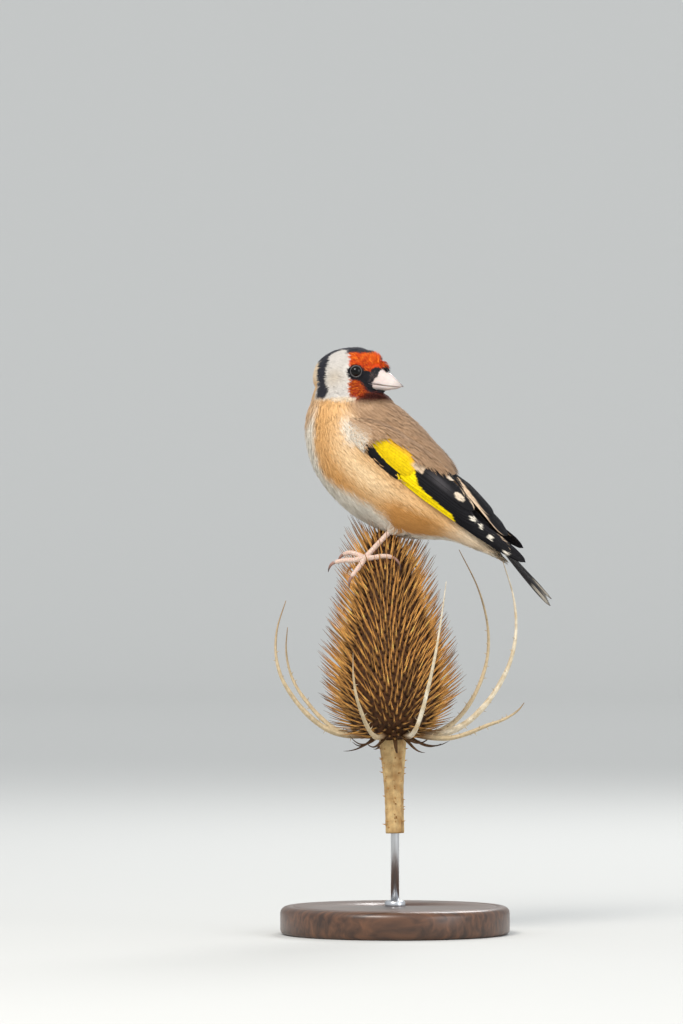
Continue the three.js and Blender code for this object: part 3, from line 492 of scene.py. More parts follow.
def noise(tree, scale, detail=4.0, rough=0.6, coords="Object", stretch=(1, 1, 1)):
    tc = node(tree, "ShaderNodeTexCoord")
    mp = node(tree, "ShaderNodeMapping")
    mp.inputs["Scale"].default_value = stretch
    n = node(tree, "ShaderNodeTexNoise")
    n.inputs["Scale"].default_value = scale
    n.inputs["Detail"].default_value = detail
    n.inputs["Roughness"].default_value = rough
    tree.links.new(tc.outputs[coords], mp.inputs["Vector"])
    tree.links.new(mp.outputs["Vector"], n.inputs["Vector"])
    return n


def bump(tree, b, height, strength, distance):
    bp = node(tree, "ShaderNodeBump")
    bp.inputs["Strength"].default_value = strength
    bp.inputs["Distance"].default_value = distance
    tree.links.new(height, bp.inputs["Height"])
    tree.links.new(bp.outputs["Normal"], b.inputs["Normal"])
    return bp


def vary(tree, b, colour_socket, fac_socket, low, high):
    """Colour times a value that runs from low to high with the factor."""
    mr = node(tree, "ShaderNodeMapRange")
    mr.inputs["From Min"].default_value = 0.3
    mr.inputs["From Max"].default_value = 0.7
    mr.inputs["To Min"].default_value = low
    mr.inputs["To Max"].default_value = high
    tree.links.new(fac_socket, mr.inputs["Value"])
    mx = node(tree, "ShaderNodeMix", data_type="RGBA", blend_type="MULTIPLY")
    mx.inputs["Factor"].default_value = 1.0
    tree.links.new(colour_socket, mx.inputs[6])
    tree.links.new(mr.outputs["Result"], mx.inputs[7])
    tree.links.new(mx.outputs[2], b.inputs["Base Color"])


def painted(name, rough, nscale, low, high, bstrength, bdist, **sockets):
    """Vertex paint, broken up by fine noise, with a matching bump."""
    m, t, b = material(name, rough, **sockets)
    at = node(t, "ShaderNodeVertexColor", layer_name="Col")
    n = noise(t, nscale)
    vary(t, b, at.outputs["Color"], n.outputs["Fac"], low, high)
    bump(t, b, n.outputs["Fac"], bstrength, bdist)
    return m


M_COAT = painted("coat", 0.82, 2600, 0.88, 1.12, 0.25, 0.0002, Sheen_Weight=0.12, Sheen_Roughness=0.4, Specular_IOR_Level=0.25)
M_SKIN = painted("skin", 0.9, 1800, 0.85, 1.05, 0.35, 0.0003, Specular_IOR_Level=0.15)
M_SCALE = painted("leg_scales", 0.5, 1500, 0.8, 1.15, 0.3, 0.00012, Subsurface_Weight=0.12, Subsurface_Scale=0.0006)
M_HORN = painted("claw_horn", 0.3, 900, 0.8, 1.1, 0.12, 0.0001)
M_BILL = painted("bill_horn", 0.34, 700, 0.93, 1.05, 0.1, 0.0001, Subsurface_Weight=0.15, Subsurface_Scale=0.0008)
M_TEASEL = painted("teasel_bristle", 0.72, 900, 0.75, 1.2, 0.4, 0.0003, Specular_IOR_Level=0.3)
M_STRAW = painted("dry_straw", 0.75, 700, 0.78, 1.15, 0.5, 0.0003, Specular_IOR_Level=0.25)


def vane_material():
    m, t, b = material("flight_feather", 0.56, Specular_IOR_Level=0.11, Sheen_Weight=0.01)
    at = node(t, "ShaderNodeVertexColor", layer_name="Col")
    ba = node(t, "ShaderNodeAttribute", attribute_name="barb")
    mul = node(t, "ShaderNodeMath", operation="MULTIPLY")
    mul.inputs[1].default_value = 20.0
    sn = node(t, "ShaderNodeMath", operation="SINE")
    t.links.new(ba.outputs["Fac"], mul.inputs[0])
    t.links.new(mul.outputs[0], sn.inputs[0])
    n = noise(t, 1200, 3)
    vary(t, b, at.outputs["Color"], n.outputs["Fac"], 0.82, 1.15)
    bump(t, b, sn.outputs[0], 0.35, 0.00006)
    return m


M_VANE = vane_material()


# ------------------------------------------------------------------ skin: one surface for all the flesh
def wing_shoulder(side):
    """The feathered arm inside the front of the wing."""
    s = np.linspace(0.05, 2.75, 26)
    q = np.linspace(0.04, 0.97, 12)
    S, Q = np.meshgrid(s, q, indexing="ij")
    n = wing_normal(S, Q, side)
    p = wing(S, Q, side)
    edge = np.minimum(1, np.minimum(Q, 1 - Q) * 5) * np.minimum(1, np.minimum(S, 2.75 - S) * 1.6 + 0.15)
    outer = p - n * (1.35 + 0.7 * (1 - edge) + 1.3 * step(0.72, 1.0, Q) * step(2.6, 2.0, S))[..., None]
    inner = p - n * (2.6 + 2.8 * edge)[..., None]
    rings = np.concatenate([outer, inner[:, ::-1]], 1)
    return loft(rings)


def thigh_tube(side, inset):
    heel = np.array(LEGS[side][0])
    t = np.linspace(0, 1.25, 12)
    path = heel + THIGH_DIR * (t[:, None] * THIGH["length"])
    r = THIGH["bottom"] + (THIGH["top"] - THIGH["bottom"]) * np.minimum(t, 1.1) ** 0.8 - inset
    r[0] *= 0.7
    return loft(sweep(path, np.maximum(r, 0.5), 16))


def tail_root():
    t = np.linspace(0, 1, 10)
    path = body(-24 - 16 * t, 0 * t, 3.6 + 1.2 * t)
    r = 3.8 * (1 - 0.45 * t)
    return loft(sweep(path, r, 16))


pieces = [loft(body_rings(1.7)), loft(head_rings(0.85)), wing_shoulder(1), wing_shoulder(-1), thigh_tube("left", 0.6), thigh_tube("right", 0.6), tail_root()]
raw = merge(pieces)
tmp = make("skin_raw", raw[0], raw[1], scale=1.0)
mod = tmp.modifiers.new("remesh", "REMESH")
mod.mode = "VOXEL"
mod.voxel_size = 0.62
mod.adaptivity = 0.0
deps = bpy.context.evaluated_depsgraph_get()
ev = tmp.evaluated_get(deps).to_mesh()
sv = np.empty(len(ev.vertices) * 3, np.float32)
ev.vertices.foreach_get("co", sv)
sv = sv.reshape(-1, 3).astype(float)
sf = np.array([tuple(p.vertices) for p in ev.polygons])
bpy.data.objects.remove(tmp, do_unlink=True)

e = np.concatenate([sf[:, [0, 1]], sf[:, [1, 2]], sf[:, [2, 3]], sf[:, [3, 0]]])
deg = np.bincount(e.reshape(-1), minlength=len(sv)).astype(float)[:, None]
for k in range(12):
    acc = np.zeros_like(sv)
    for ax in range(3):
        acc[:, ax] = np.bincount(e[:, 0], sv[e[:, 1], ax], len(sv)) + np.bincount(e[:, 1], sv[e[:, 0], ax], len(sv))
    sv = sv + (0.5 if k % 2 == 0 else -0.46) * (acc / deg - sv)


def face_normals(v, f):
    return unit(np.cross(v[f[:, 2]] - v[f[:, 0]], v[f[:, 3]] - v[f[:, 1]]))


fn = face_normals(sv, sf)
vn = np.zeros_like(sv)
for k in range(4):
    np.add.at(vn, sf[:, k], fn)
vn = unit(vn)
sfn = unit(vn[sf].sum(1))
SKIN_TREE = BVHTree.FromPolygons([tuple(v) for v in sv], [tuple(int(i) for i in f) for f in sf])

# chart of the folded wing, to find where on it a point lies
CH_S, CH_Q = np.meshgrid(np.linspace(0, 5, 76), np.linspace(0, 1, 17), indexing="ij")
CH_S, CH_Q = CH_S.reshape(-1), CH_Q.reshape(-1)
CHART = {side: wing(CH_S, CH_Q, side) for side in (1, -1)}
CHART_N = {side: wing_normal(CH_S, CH_Q, side) for side in (1, -1)}


def wing_place(p):
    """Nearest chart place: s, q, signed distance outwards."""
    s, q, h, dist = (np.zeros(len(p)) for _ in range(4))
    b = (p - BODY_ORIGIN) @ L
    for side in (1, -1):
        m = np.where((b >= 0) if side > 0 else (b < 0))[0]
        for k in range(0, len(m), 4000):
            i = m[k:k + 4000]
            d = ((p[i, None] - CHART[side][None]) ** 2).sum(-1)
            j = d.argmin(1)
            s[i], q[i] = CH_S[j], CH_Q[j]
            h[i] = ((p[i] - CHART[side][j]) * CHART_N[side][j]).sum(-1)
            dist[i] = np.sqrt(d[np.arange(len(i)), j])
    return s, q, h, dist


def coat_colour(p, n):
    """The bird's markings at points on or near the skin."""
    a, b, c = to_body(p)
    x, y, z = to_head(p)
    hc = head_colour(x, y, z, n)
    bc = body_colour(a, b, c, n)
    tilt = np.interp(x, [-9, -0.5, 2, 12], [-0.1, -0.4, 0, 1.6])
    w = step(189.4, 191.0, p[:, 2] + 0.5 * n + tilt)
    near_head = step(17.5, 15.0, np.linalg.norm(p - HEAD_CENTRE, axis=1))
    w = np.maximum(w, step(6.8, 8.2, x) * step(-10.0, -8.8, z)) * near_head
    col = lerp(bc, hc, w)
    # dark throat under the bill: partly the chin's own dark colour, partly painted shade where the chin lies on the
    # mantle
    throat = step(8.0, 9.5, x + 0.4 * n) * step(-5.2, -6.2, z) * step(187.9, 189.0, p[:, 2]) * near_head
    line = (1 - throat) * np.exp(-((p[:, 2] + tilt + 0.6 * step(5, 9, x) - 189.9) / 0.75) ** 2) * step(-3, 1, x) * near_head * (z < 0)
    col = lerp(col, srgb(72, 28, 20), throat * 0.9)
    return lerp(col, WHITE, line * 0.75)


def skin_uv(p, nrm):
    """Unwrap of the skin by its own shape: the body as a rolled-out tube, the head beside it."""
    a, b, c = to_body(p)
    x, y, z = to_head(p)
    is_head = (p[:, 2] > 190.5) & (np.linalg.norm(p - HEAD_CENTRE, axis=1) < 16.5)
    s = np.interp(a, BODY[:, 0], np.arange(len(BODY)))
    v = smooth(BODY, s)
    ang = np.arctan2(c - v[:, 1], b) / (2 * math.pi)
    ub = 0.02 + (0.5 + ang) * 0.62
    vb = 0.03 + (a + 52) / 100 * 0.94
    ah = np.arctan2(z + 0.8, y) / (2 * math.pi)
    uh = 0.70 + (0.5 + ah) * 0.28
    vh = 0.03 + (x + 15) / 30 * 0.5
    return np.where(is_head[:, None], np.stack([uh, vh], 1), np.stack([ub, vb], 1)), is_head


suv, shead = skin_uv(sv, vn)
loop_uv = suv[sf]
fh = shead[sf].mean(1) > 0.5
fa, fb, fc = to_body(sv[sf].reshape(-1, 3))
both = np.stack(skin_uv(sv, vn)[0:1])[0]
# each face takes one island, and its wrap is undone
for island in (True, False):
    m = fh == island
    p = sv[sf[m]].reshape(-1, 3)
    if island:
        x, y, z = to_head(p)
        ah = np.arctan2(z + 0.8, y) / (2 * math.pi)
        u = (0.5 + ah).reshape(-1, 4)
        v_ = (0.03 + (x + 15) / 30 * 0.5).reshape(-1, 4)
        lo, sc = 0.70, 0.28
    else:
        a, b, c = to_body(p)
        s = np.interp(a, BODY[:, 0], np.arange(len(BODY)))
        cs = smooth(BODY, s)[:, 1]
        u = (0.5 + np.arctan2(c - cs, b) / (2 * math.pi)).reshape(-1, 4)
        v_ = (0.03 + (a + 52) / 100 * 0.94).reshape(-1, 4)
        lo, sc = 0.02, 0.62
    wrap = (u.max(1) - u.min(1)) > 0.5
    u[wrap] = np.where(u[wrap] < 0.5, u[wrap] + 1, u[wrap])
    loop_uv[m] = np.stack([lo + u * sc, v_], -1)
skin_n = wobble(sv, 0.9, 1) * 0.6
skin_col = coat_colour(sv, skin_n)
ws, wq, wh, wd = wing_place(sv)
on_wing = (wd < 3.2) & (wh > -2.2) & (ws > 0.9) & (wq < 0.97)
skin_col[on_wing] = wing_colour(ws[on_wing], wq[on_wing])
sa, sb, sc = to_body(sv)
skin_col[(sa < -22.5) & (np.abs(sb) < 8) & (sc > 2.6) & (sa > -44)] = WING_BLACK * 2.0
skin = make("skin", sv, [sf], color=skin_col * 0.82, uv=loop_uv.reshape(-1, 2))
place(skin, M_SKIN, "body_feathers", "head", "neck", "trunk", "thigh_left", "thigh_right")


# ------------------------------------------------------------------ coat: small flat locks laid along the skin
def nearest(p):
    q, nn = np.empty_like(p), np.empty_like(p)
    for i, v in enumerate(p):
        loc, _, k, _ = SKIN_TREE.find_nearest(v)
        q[i] = loc
        nn[i] = sfn[k]
    return q, nn


BILL_POINT = head(13.5, 0, -1.0)
HEELS = {k: np.array(v[0]) for k, v in LEGS.items()}


def lie(p, nrm):
    """Direction the coat lies in at each point."""
    a, b, c = to_body(p)
    x, y, z = to_head(p)
    hd = unit(p - BILL_POINT)
    bridge = (step(9.3, 10.4, x) * step(-5.5, -4.5, z))[:, None]
    hd = unit(hd * (1 - 2 * bridge))
    hd = unit(hd - 0.25 * np.array([0, 0, 1.0]) * step(0, -8, z)[:, None])
    k = step(12, 34, a)[:, None] * 1.3
    bd = unit(-F + k * unit(p - HEAD_CENTRE))
    w = step(185, 194, p[:, 2])[:, None] * step(19, 14, np.linalg.norm(p - HEAD_CENTRE, axis=1))[:, None]
    d = unit(bd * (1 - w) + hd * w)
    for heel in HEELS.values():
        g = heel - p
        t = step(8.0, 4.0, np.linalg.norm(g, axis=1))[:, None]
        d = unit(d * (1 - t) + unit(g) * t)
    d = d - nrm * (d * nrm).sum(1, keepdims=True)
    return unit(d)


tri = np.concatenate([sf[:, [0, 1, 2]], sf[:, [0, 2, 3]]])
tri_face = np.concatenate([np.arange(len(sf))] * 2)
area = 0.5 * np.linalg.norm(np.cross(sv[tri[:, 1]] - sv[tri[:, 0]], sv[tri[:, 2]] - sv[tri[:, 0]]), axis=1)


def scatter(count):
    k = rng.choice(len(tri), count, p=area / area.sum())
    r1, r2 = np.sqrt(rng.random(count)), rng.random(count)
    w = np.stack([1 - r1, r1 * (1 - r2), r1 * r2], 1)
    p = (sv[tri[k]] * w[..., None]).sum(1)
    n = unit((vn[tri[k]] * w[..., None]).sum(1))
    return p, n


def in_bill(p, grow=0.0):
    x, y, z = to_head(p)
    u = np.clip((x - BILL["root"]) / (BILL["tip"] - BILL["root"]), 0, 1)
    top = BILL["gape"] + (BILL["top"] - BILL["gape"]) * (1 - u) ** BILL["tu"]
    bot = BILL["gape"] + (BILL["bottom"] - BILL["gape"]) * (1 - u) ** BILL["tl"]
    w = BILL["wu"] * (1 - u) ** 0.86
    return (x > 8.4) & (z < top + grow) & (z > bot - grow) & (np.abs(y) < w + grow)


LOCK_T = np.array([0.0, 0.42, 0.78, 1.0])
LOCK_W = np.array([0.75, 1.0, 0.62])


def build_locks(name, p, n, length, width, depth, group=None, colour=None, slot="body_feathers"):
    """Locks from roots p: three rings of four and a tip, following the skin and rising from it to the coat's depth."""
    count = len(p)
    stations, normals = [p - n * 0.15], [n]
    q, nn = p, n
    d0 = lie(q, nn)
    ang = rng.normal(0, 0.075, count)
    vent = step(-35, -41, to_body(p)[0])[:, None]
    free = unit(body(-64, 0, 2.0) - p)
    d = unit(d0 * np.cos(ang)[:, None] + np.cross(nn, d0) * np.sin(ang)[:, None])
    for t0, t1 in zip(LOCK_T[:-1], LOCK_T[1:]):
        q2, n2 = nearest(q + d * (length * (t1 - t0))[:, None])
        off = depth * (0.25 + 0.75 * t1 ** 1.1)
        straight = p + free * (length * t1 * 0.72)[:, None] + n * (0.3 * t1)
        stations.append((q2 + n2 * off[:, None]) * (1 - vent) + straight * vent)
        normals.append(n2)
        dn = lie(q2, n2)
        dn = unit(dn * np.cos(ang)[:, None] + np.cross(n2, dn) * np.sin(ang)[:, None])
        q, nn, d = q2, n2, dn
    P, N = np.stack(stations, 1), np.stack(normals, 1)
    mid = P[:, 1] * 0.35 + P[:, 2] * 0.65 - N[:, 2] * (depth * 0.6)[:, None]
    jit = rng.normal(0, 1, count)
    col = (colour or coat_colour)(mid, np.clip(jit * 0.5, -1.1, 1.1))
    return emit_locks(name, p, n, P, N, width, col, group, slot)


def emit_locks(name, p, n, P, N, width, col, group=None, slot="body_feathers", spread=0.038):
    count = len(P)
    T = np.empty_like(P)
    T[:, 1:-1] = P[:, 2:] - P[:, :-2]
    T[:, 0] = P[:, 1] - P[:, 0]
    T[:, -1] = P[:, -1] - P[:, -2]
    T = unit(T)
    S = unit(np.cross(N, T))
    verts = np.empty((count, 13, 3))
    for r in range(3):
        w = (width * LOCK_W[r])[:, None] * 0.5
        th = np.minimum(0.07, w * 0.4)
        verts[:, 4 * r + 0] = P[:, r] + S[:, r] * w
        verts[:, 4 * r + 1] = P[:, r] + N[:, r] * th
        verts[:, 4 * r + 2] = P[:, r] - S[:, r] * w
        verts[:, 4 * r + 3] = P[:, r] - N[:, r] * th * 0.6
    verts[:, 12] = P[:, 3]
    quads = [[4 * r + j, 4 * r + (j + 1) % 4, 4 * r + 4 + (j + 1) % 4, 4 * r + 4 + j] for r in range(2) for j in range(4)]
    quads.append([3, 2, 1, 0])
    tris = [[8 + j, 8 + (j + 1) % 4, 12] for j in range(4)]
    normal = np.empty_like(verts)
    for r in range(3):
        normal[:, 4 * r + 0] = N[:, r] + 0.30 * S[:, r]
        normal[:, 4 * r + 1] = N[:, r]
        normal[:, 4 * r + 2] = N[:, r] - 0.30 * S[:, r]
        normal[:, 4 * r + 3] = -N[:, r]
    normal[:, 12] = N[:, 3]
    normal = unit(normal)
    tone = np.clip(1 + spread * rng.normal(0, 1, count), 0.8, 1.2)
    ramp = np.array([0.90] * 4 + [0.97] * 4 + [1.01] * 4 + [1.04])
    c = np.clip(col[:, None, :] * (tone[:, None] * ramp[None])[..., None], 0, 1)
    uv0, _ = skin_uv(p, n)
    lu = np.array([0.0012, 0.0002, -0.0012, 0] * 3 + [0.0])
    lv = np.array([-0.0015] * 4 + [0.0] * 4 + [0.001] * 4 + [0.0015])
    uv = uv0[:, None, :] + np.stack([lu, lv], -1)[None]
    groups = np.zeros(count, int) if group is None else group
    for g in np.unique(groups):
        m = np.where(groups == g)[0]
        for part, k in enumerate(range(0, len(m), 8800)):
            i = m[k:k + 8800]
            base = (np.arange(len(i)) * 13)[:, None, None]
            qb = (np.array(quads)[None] + base).reshape(-1, 4)
            tb = (np.array(tris)[None] + base).reshape(-1, 3)
            ob = make(f"{name}_{g}_{part}", verts[i].reshape(-1, 3), [qb, tb], color=c[i].reshape(-1, 3), uv=uv[i].reshape(-1, 2))
            ob.data.normals_split_custom_set_from_vertices(normal[i].reshape(-1, 3).tolist())
            place(ob, M_COAT, slot)


def wing_edge(s):
    """Upper limit of the bare wing on its chart: above it the mantle's feathers lie over it."""
    return np.interp(s, [0, 0.92, 1.00, 1.08, 1.34, 1.92, 2.12, 2.30, 2.50, 2.66, 2.80], [-0.1, -0.05, 0.26, 0.55, 0.73, 0.74, 0.68, 0.70, 0.82, 0.94, 1.1])


COUNT = 50000
P0, N0 = scatter(COUNT)
ws, wq, wh, wd = wing_place(P0)
x, y, z = to_head(P0)
a, b, c = to_body(P0)
hd = np.linalg.norm(P0 - HEAD_CENTRE, axis=1)
headness = step(187.5, 193, P0[:, 2]) * step(18, 14.5, hd)
eye_d = np.minimum(*(np.linalg.norm(P0 - head(EYE["x"], sd * EYE["out"], EYE["z"]), axis=1) for sd in (1, -1)))
on_wing = (wd < 3.6) & (wh > -3.4)
hidden = on_wing & (ws > 0.7) & (wq < wing_edge(ws + 0.30)) & (wq > 0.03)
under = (wd < 4.5) & (wh < -0.5) & (ws > 0.8) & (ws < 4.9) & (wq > 0.10) & (wq < 0.93) & ~on_wing
cad_in = (wd < 2.0) & (ws > 2.7)
hidden = hidden | ((wd < 2.5) & (wq < 0.05) & (ws > 1.7) & (ws < 3.6)) | ((wd < 1.9) & (wq < 0.05) & (ws > 1.0) & (ws < 3.7)) | ((wd < 4.0) & (ws > 2.75) & (wq > 0.86)) | ((a < -23) & (np.abs(b) < 7) & (c > 3.0))
keep = ~(hidden | under | cad_in) & ~in_bill(P0, 0.25) & (eye_d > EYE["r"] + 0.28)
face_d = np.maximum(0, x)  # forward part of the head has the shortest feathers
length = 6.6 + rng.normal(0, 0.7, COUNT)
length = length * (1 - 0.52 * headness) * (1 - 0.45 * headness * step(0, 9, face_d))
length = np.where(eye_d < 4.6, np.minimum(length, 1.0 + (eye_d - 2.4) * 0.7), length)
heel_d = np.minimum(*(np.linalg.norm(P0 - h, axis=1) for h in HEELS.values()))
length = np.where(heel_d < 8, length * (0.35 + 0.65 * step(1.5, 8, heel_d)), length)
length = np.maximum(length, 0.7)
width = (0.60 - 0.14 * headness - 0.10 * headness * step(2, 9, face_d)) * np.clip(1 + rng.normal(0, 0.16, COUNT), 0.6, 1.5)
depth = (1.5 - 0.75 * headness - 0.30 * headness * step(2, 9, face_d)) * np.clip(1 + rng.normal(0, 0.16, COUNT), 0.6, 1.4)
depth = depth * (1 - 0.50 * step(-2, -8, c) * step(6, -6, a))
depth = depth + 0.55 * step(3.6, 2.2, wd) * step(0.3, 0.6, ws) * step(1.0, 0.8, wq) * on_wing
depth = depth * (1 - 0.55 * step(5.5, 2.5, wd) * (wq < 0.06) * step(1.6, 2.1, ws) * step(3.7, 3.3, ws))
depth = depth + 0.7 * step(4.5, 3.0, wd) * step(0.80, 0.92, wq) * step(1.3, 1.7, ws) * step(2.75, 2.5, ws)
throat = step(6.5, 9.0, x) * step(-4.8, -6.3, z) * headness
depth = depth + 0.2 * throat
depth = np.where(eye_d < 4.2, np.minimum(depth, 0.35), depth)
# loose ruffle in front of the wing, and fluffier vent
ruffle = np.exp(-((a - 17) / 6) ** 2 - ((wq - 0.2) / 0.5) ** 2) * (np.abs(b) > 12)
length = length * (1 + 0.10 * ruffle)
group = np.select([headness > 0.5, (a > 14) & (b >= 0), a > 14, (c > 2) & (b >= 0), c > 2, b >= 0], [0, 1, 2, 3, 4, 5], 6)
i = np.where(keep)[0]
build_locks("coat", P0[i], N0[i], length[i], width[i], depth[i], group=group[i])

# a second, finer pass on the head, where it shows most
HC = 21000
P1, N1 = scatter(HC * 5)
hd = np.linalg.norm(P1 - HEAD_CENTRE, axis=1)
x, y, z = to_head(P1)
eye_d = np.minimum(*(np.linalg.norm(P1 - head(EYE["x"], sd * EYE["out"], EYE["z"]), axis=1) for sd in (1, -1)))
i = np.where((P1[:, 2] > 189.5) & (hd < 16.5) & ~in_bill(P1, 0.2) & (eye_d > EYE["r"] + 0.22))[0][:HC]
fine = np.clip(2.3 - 0.9 * step(0, 10, x[i]), 0.9, 3) * np.clip(1 + rng.normal(0, 0.12, len(i)), 0.7, 1.4)
fine = np.where(eye_d[i] < 4.6, np.minimum(fine, 0.8 + (eye_d[i] - 2.4) * 0.55), fine)
dp = np.where(eye_d[i] < 4.0, 0.32, 0.85 - 0.35 * step(2, 9, x[i]) + 0.75 * step(5.0, 8.5, x[i]) * step(3.0, 5.0, z[i]) + 0.25 * step(8.2, 9.8, x[i]) * step(2.6, 4.0, z[i])) * np.clip(1 + rng.normal(0, 0.15, len(i)), 0.6, 1.4)
fine = fine + 0.5 * step(5.0, 8.5, x[i]) * step(3.0, 5.0, z[i])
build_locks("coat_face", P1[i], N1[i], fine, 0.30 * np.clip(1 + rng.normal(0, 0.15, len(i)), 0.6, 1.5), dp + 0.7 * step(6.5, 9.0, x[i]) * step(-4.8, -6.3, z[i]), slot="head_feathers")


def bill_skin(x, f, upper=True):
    """Place on the bill at head x and angle f (0 at the right edge, pi at the left), and the way out from it."""
    u = np.clip((x - BILL["root"]) / (BILL["tip"] - BILL["root"] - (0 if upper else 0.9)), 0, 1)
    taper = (1 - u) ** (BILL["tu"] if upper else BILL["tl"]) * 0.965 + 0.035
    sg = 1 if upper else -1
    edge = BILL["gape"] - BILL["drop"] * u ** 1.15
    wide = (BILL["wu"] if upper else BILL["wl"]) * ((1 - u) ** 0.84 * 0.97 + 0.03)
    deep = ((BILL["top"] - BILL["gape"]) if upper else (BILL["gape"] - BILL["bottom"])) * taper
    y, z = wide * np.cos(f), edge + sg * deep * np.sin(f) ** (0.92 if upper else 0.75)
    out = unit(np.cos(f)[:, None] * HL + (sg * np.sin(f))[:, None] * HU + 0.25 * HF)
    return head(x, y, z), out


def bridge(count, upper):
    f = rng.uniform(0.02, math.pi - 0.02, count)
    side = np.abs(np.cos(f))
    if upper:
        end = np.interp(side, [0, 0.12, 0.25, 0.45, 0.60, 0.80, 0.93, 1.0], [13.3, 13.0, 12.2, 11.5, 11.2, 10.9, 10.6, 9.4])
    else:
        end = np.interp(side, [0, 0.4, 0.8, 1.0], [12.9, 12.0, 10.4, 9.3])
    ln = rng.uniform(1.3, 2.2, count)
    tip = end - rng.random(count) ** 1.6 * np.maximum(end - 7.6, 0.2) + rng.normal(0, 0.12, count)
    st, nr = [], []
    for t in LOCK_T:
        pt, out = bill_skin(tip - ln * (1 - t), f, upper)
        puff = 0.36 + (1.05 * step(0.40, 0.05, side) if upper else 1.3 * step(0.85, 0.35, side) * t)
        st.append(pt + out * (0.05 + puff * math.sin(math.pi * (0.15 + 0.75 * t)))[:, None])
        nr.append(out)
    P, N = np.stack(st, 1), np.stack(nr, 1)
    jit = rng.normal(0, 0.05, count)
    if upper:
        tx, ty, tz = to_head(P[:, 3])
        line = np.interp(tx, [7.0, 8.5, 10.4, 11.3, 12.5], [2.0, 2.4, 3.3, 3.5, 2.8])
        red = np.maximum(step(0.58, 0.46, side + jit), step(-0.15, 0.25, tz - line + 3 * jit))
        col = lerp(lerp(BLACK, srgb(96, 80, 76), step(0.90, 0.97, side + jit) * step(0.0, 0.05, jit) * 0.6), RED_UP, red)
    else:
        col = lerp(BLACK, srgb(96, 30, 18), step(0.7, 0.3, side + jit))
    emit_locks("coat_bridge_" + ("upper" if upper else "lower"), P[:, 0], N[:, 0], P, N, np.full(count, 0.36), col, None, "head_feathers", 0.07)


bridge(1500, True)
bridge(900, False)


def wisps(count):
    for side in (1, -1):
        s0 = rng.uniform(0.12, 0.74, count)
        q0 = rng.uniform(-0.1, 0.55, count)
        s0 = s0 - 0.25 * np.clip(q0, 0, 1)
        q0 = np.clip(q0, 0.0, 1.0)
        ln = rng.uniform(0.30, 0.50, count)
        drift = rng.normal(-0.02, 0.035, count)
        st, nr = [], []
        for t in LOCK_T:
            ss, qq = s0 + ln * t, np.clip(q0 + drift * t, 0.0, 1.0)
            nn = wing_normal(ss, np.clip(qq, 0.03, 0.97), side)
            st.append(wing(ss, qq, side) + nn * (-0.25 + 0.95 * t))
            nr.append(nn)
        P, N = np.stack(st, 1), np.stack(nr, 1)
        kind = rng.random(count)
        edge = np.interp(q0 + rng.normal(0, 0.05, count), [0, 0.22, 0.38, 0.5], [0.0, 0.1, 0.6, 1.0])
        dark = 0.02 + step(0.42, 0.70, s0) * step(0.45, 0.2, q0) * 0.14
        col = np.where((kind < dark)[:, None], srgb(52, 50, 52), np.where((kind < 0.75)[:, None], WHITE, np.where((kind < 0.87)[:, None], srgb(150, 142, 136), BUFF)))
        col = lerp(col, MANTLE, edge)
        emit_locks(f"coat_wisp_{'left' if side > 0 else 'right'}", P[:, 0], N[:, 0], P, N, rng.uniform(0.32, 0.54, count), col, None, "body_feathers", 0.05)


wisps(2300)


# ------------------------------------------------------------------ flight feathers and coverts
def vane(path, normals, half, thick=0.12, camber=0.25, across=7, tone=1.0, colour=None, profile=None, cell=None, slope=1.0):
    """One feather: a thin closed blade about a shaft, with a rounded tip."""
    n = len(path)
    t = np.linspace(0, 1, n)
    w = half * (profile(t) if profile else np.clip(np.minimum(1, 0.35 + t * 2.2), 0, 1) * np.sqrt(np.clip(1 - np.clip((t - 0.80) / 0.2, 0, 1) ** 2.2, 0.0, 1)))
    w = np.maximum(w, 0.05)
    tan = unit(np.gradient(path, axis=0))
    side = unit(np.cross(normals, tan))
    v = np.linspace(-1, 1, across)
    mid = path[:, None] + side[:, None] * (w[:, None] * v)[..., None] - normals[:, None] * (camber * half * 0.18 * v ** 2)[None, :, None]
    ridge = 0.10 * np.exp(-(v / 0.12) ** 2)
    top = mid + normals[:, None] * (thick * 0.5 + ridge[None, :] * (1 - 0.7 * t[:, None]))[..., None]
    low = mid - normals[:, None] * (thick * 0.5)
    rings = np.concatenate([top, low[:, ::-1]], 1)
    verts, faces = loft(rings)
    m = across * 2
    V = np.concatenate([v, v[::-1]])
    TT = np.repeat(t[:, None], m, 1)
    VV = np.repeat(V[None], n, 0)
    length = np.linalg.norm(np.diff(path, axis=0), axis=1).sum()
    barb = TT * length - slope * np.abs(VV) * w[:, None]
    col = colour(TT.reshape(-1), VV.reshape(-1), rings.reshape(-1, 3)) * tone
    shaft = np.abs(VV.reshape(-1)) < 0.1
    col[shaft] = col[shaft] * 0.7
    col = np.concatenate([col, col[:1], col[-1:]])
    barb = np.concatenate([barb.reshape(-1), [0], [length]])
    cx, cy, cw, ch = cell
    ui = np.concatenate([np.linspace(0.04, 0.46, across), np.linspace(0.54, 0.96, across)])
    uv = np.stack([cx + cw * np.repeat(ui[None], n, 0), cy + ch * (0.04 + 0.92 * TT)], -1).reshape(-1, 2)
    uv = np.concatenate([uv, uv[:1], uv[-1:]])
    return verts, faces, col, barb, uv


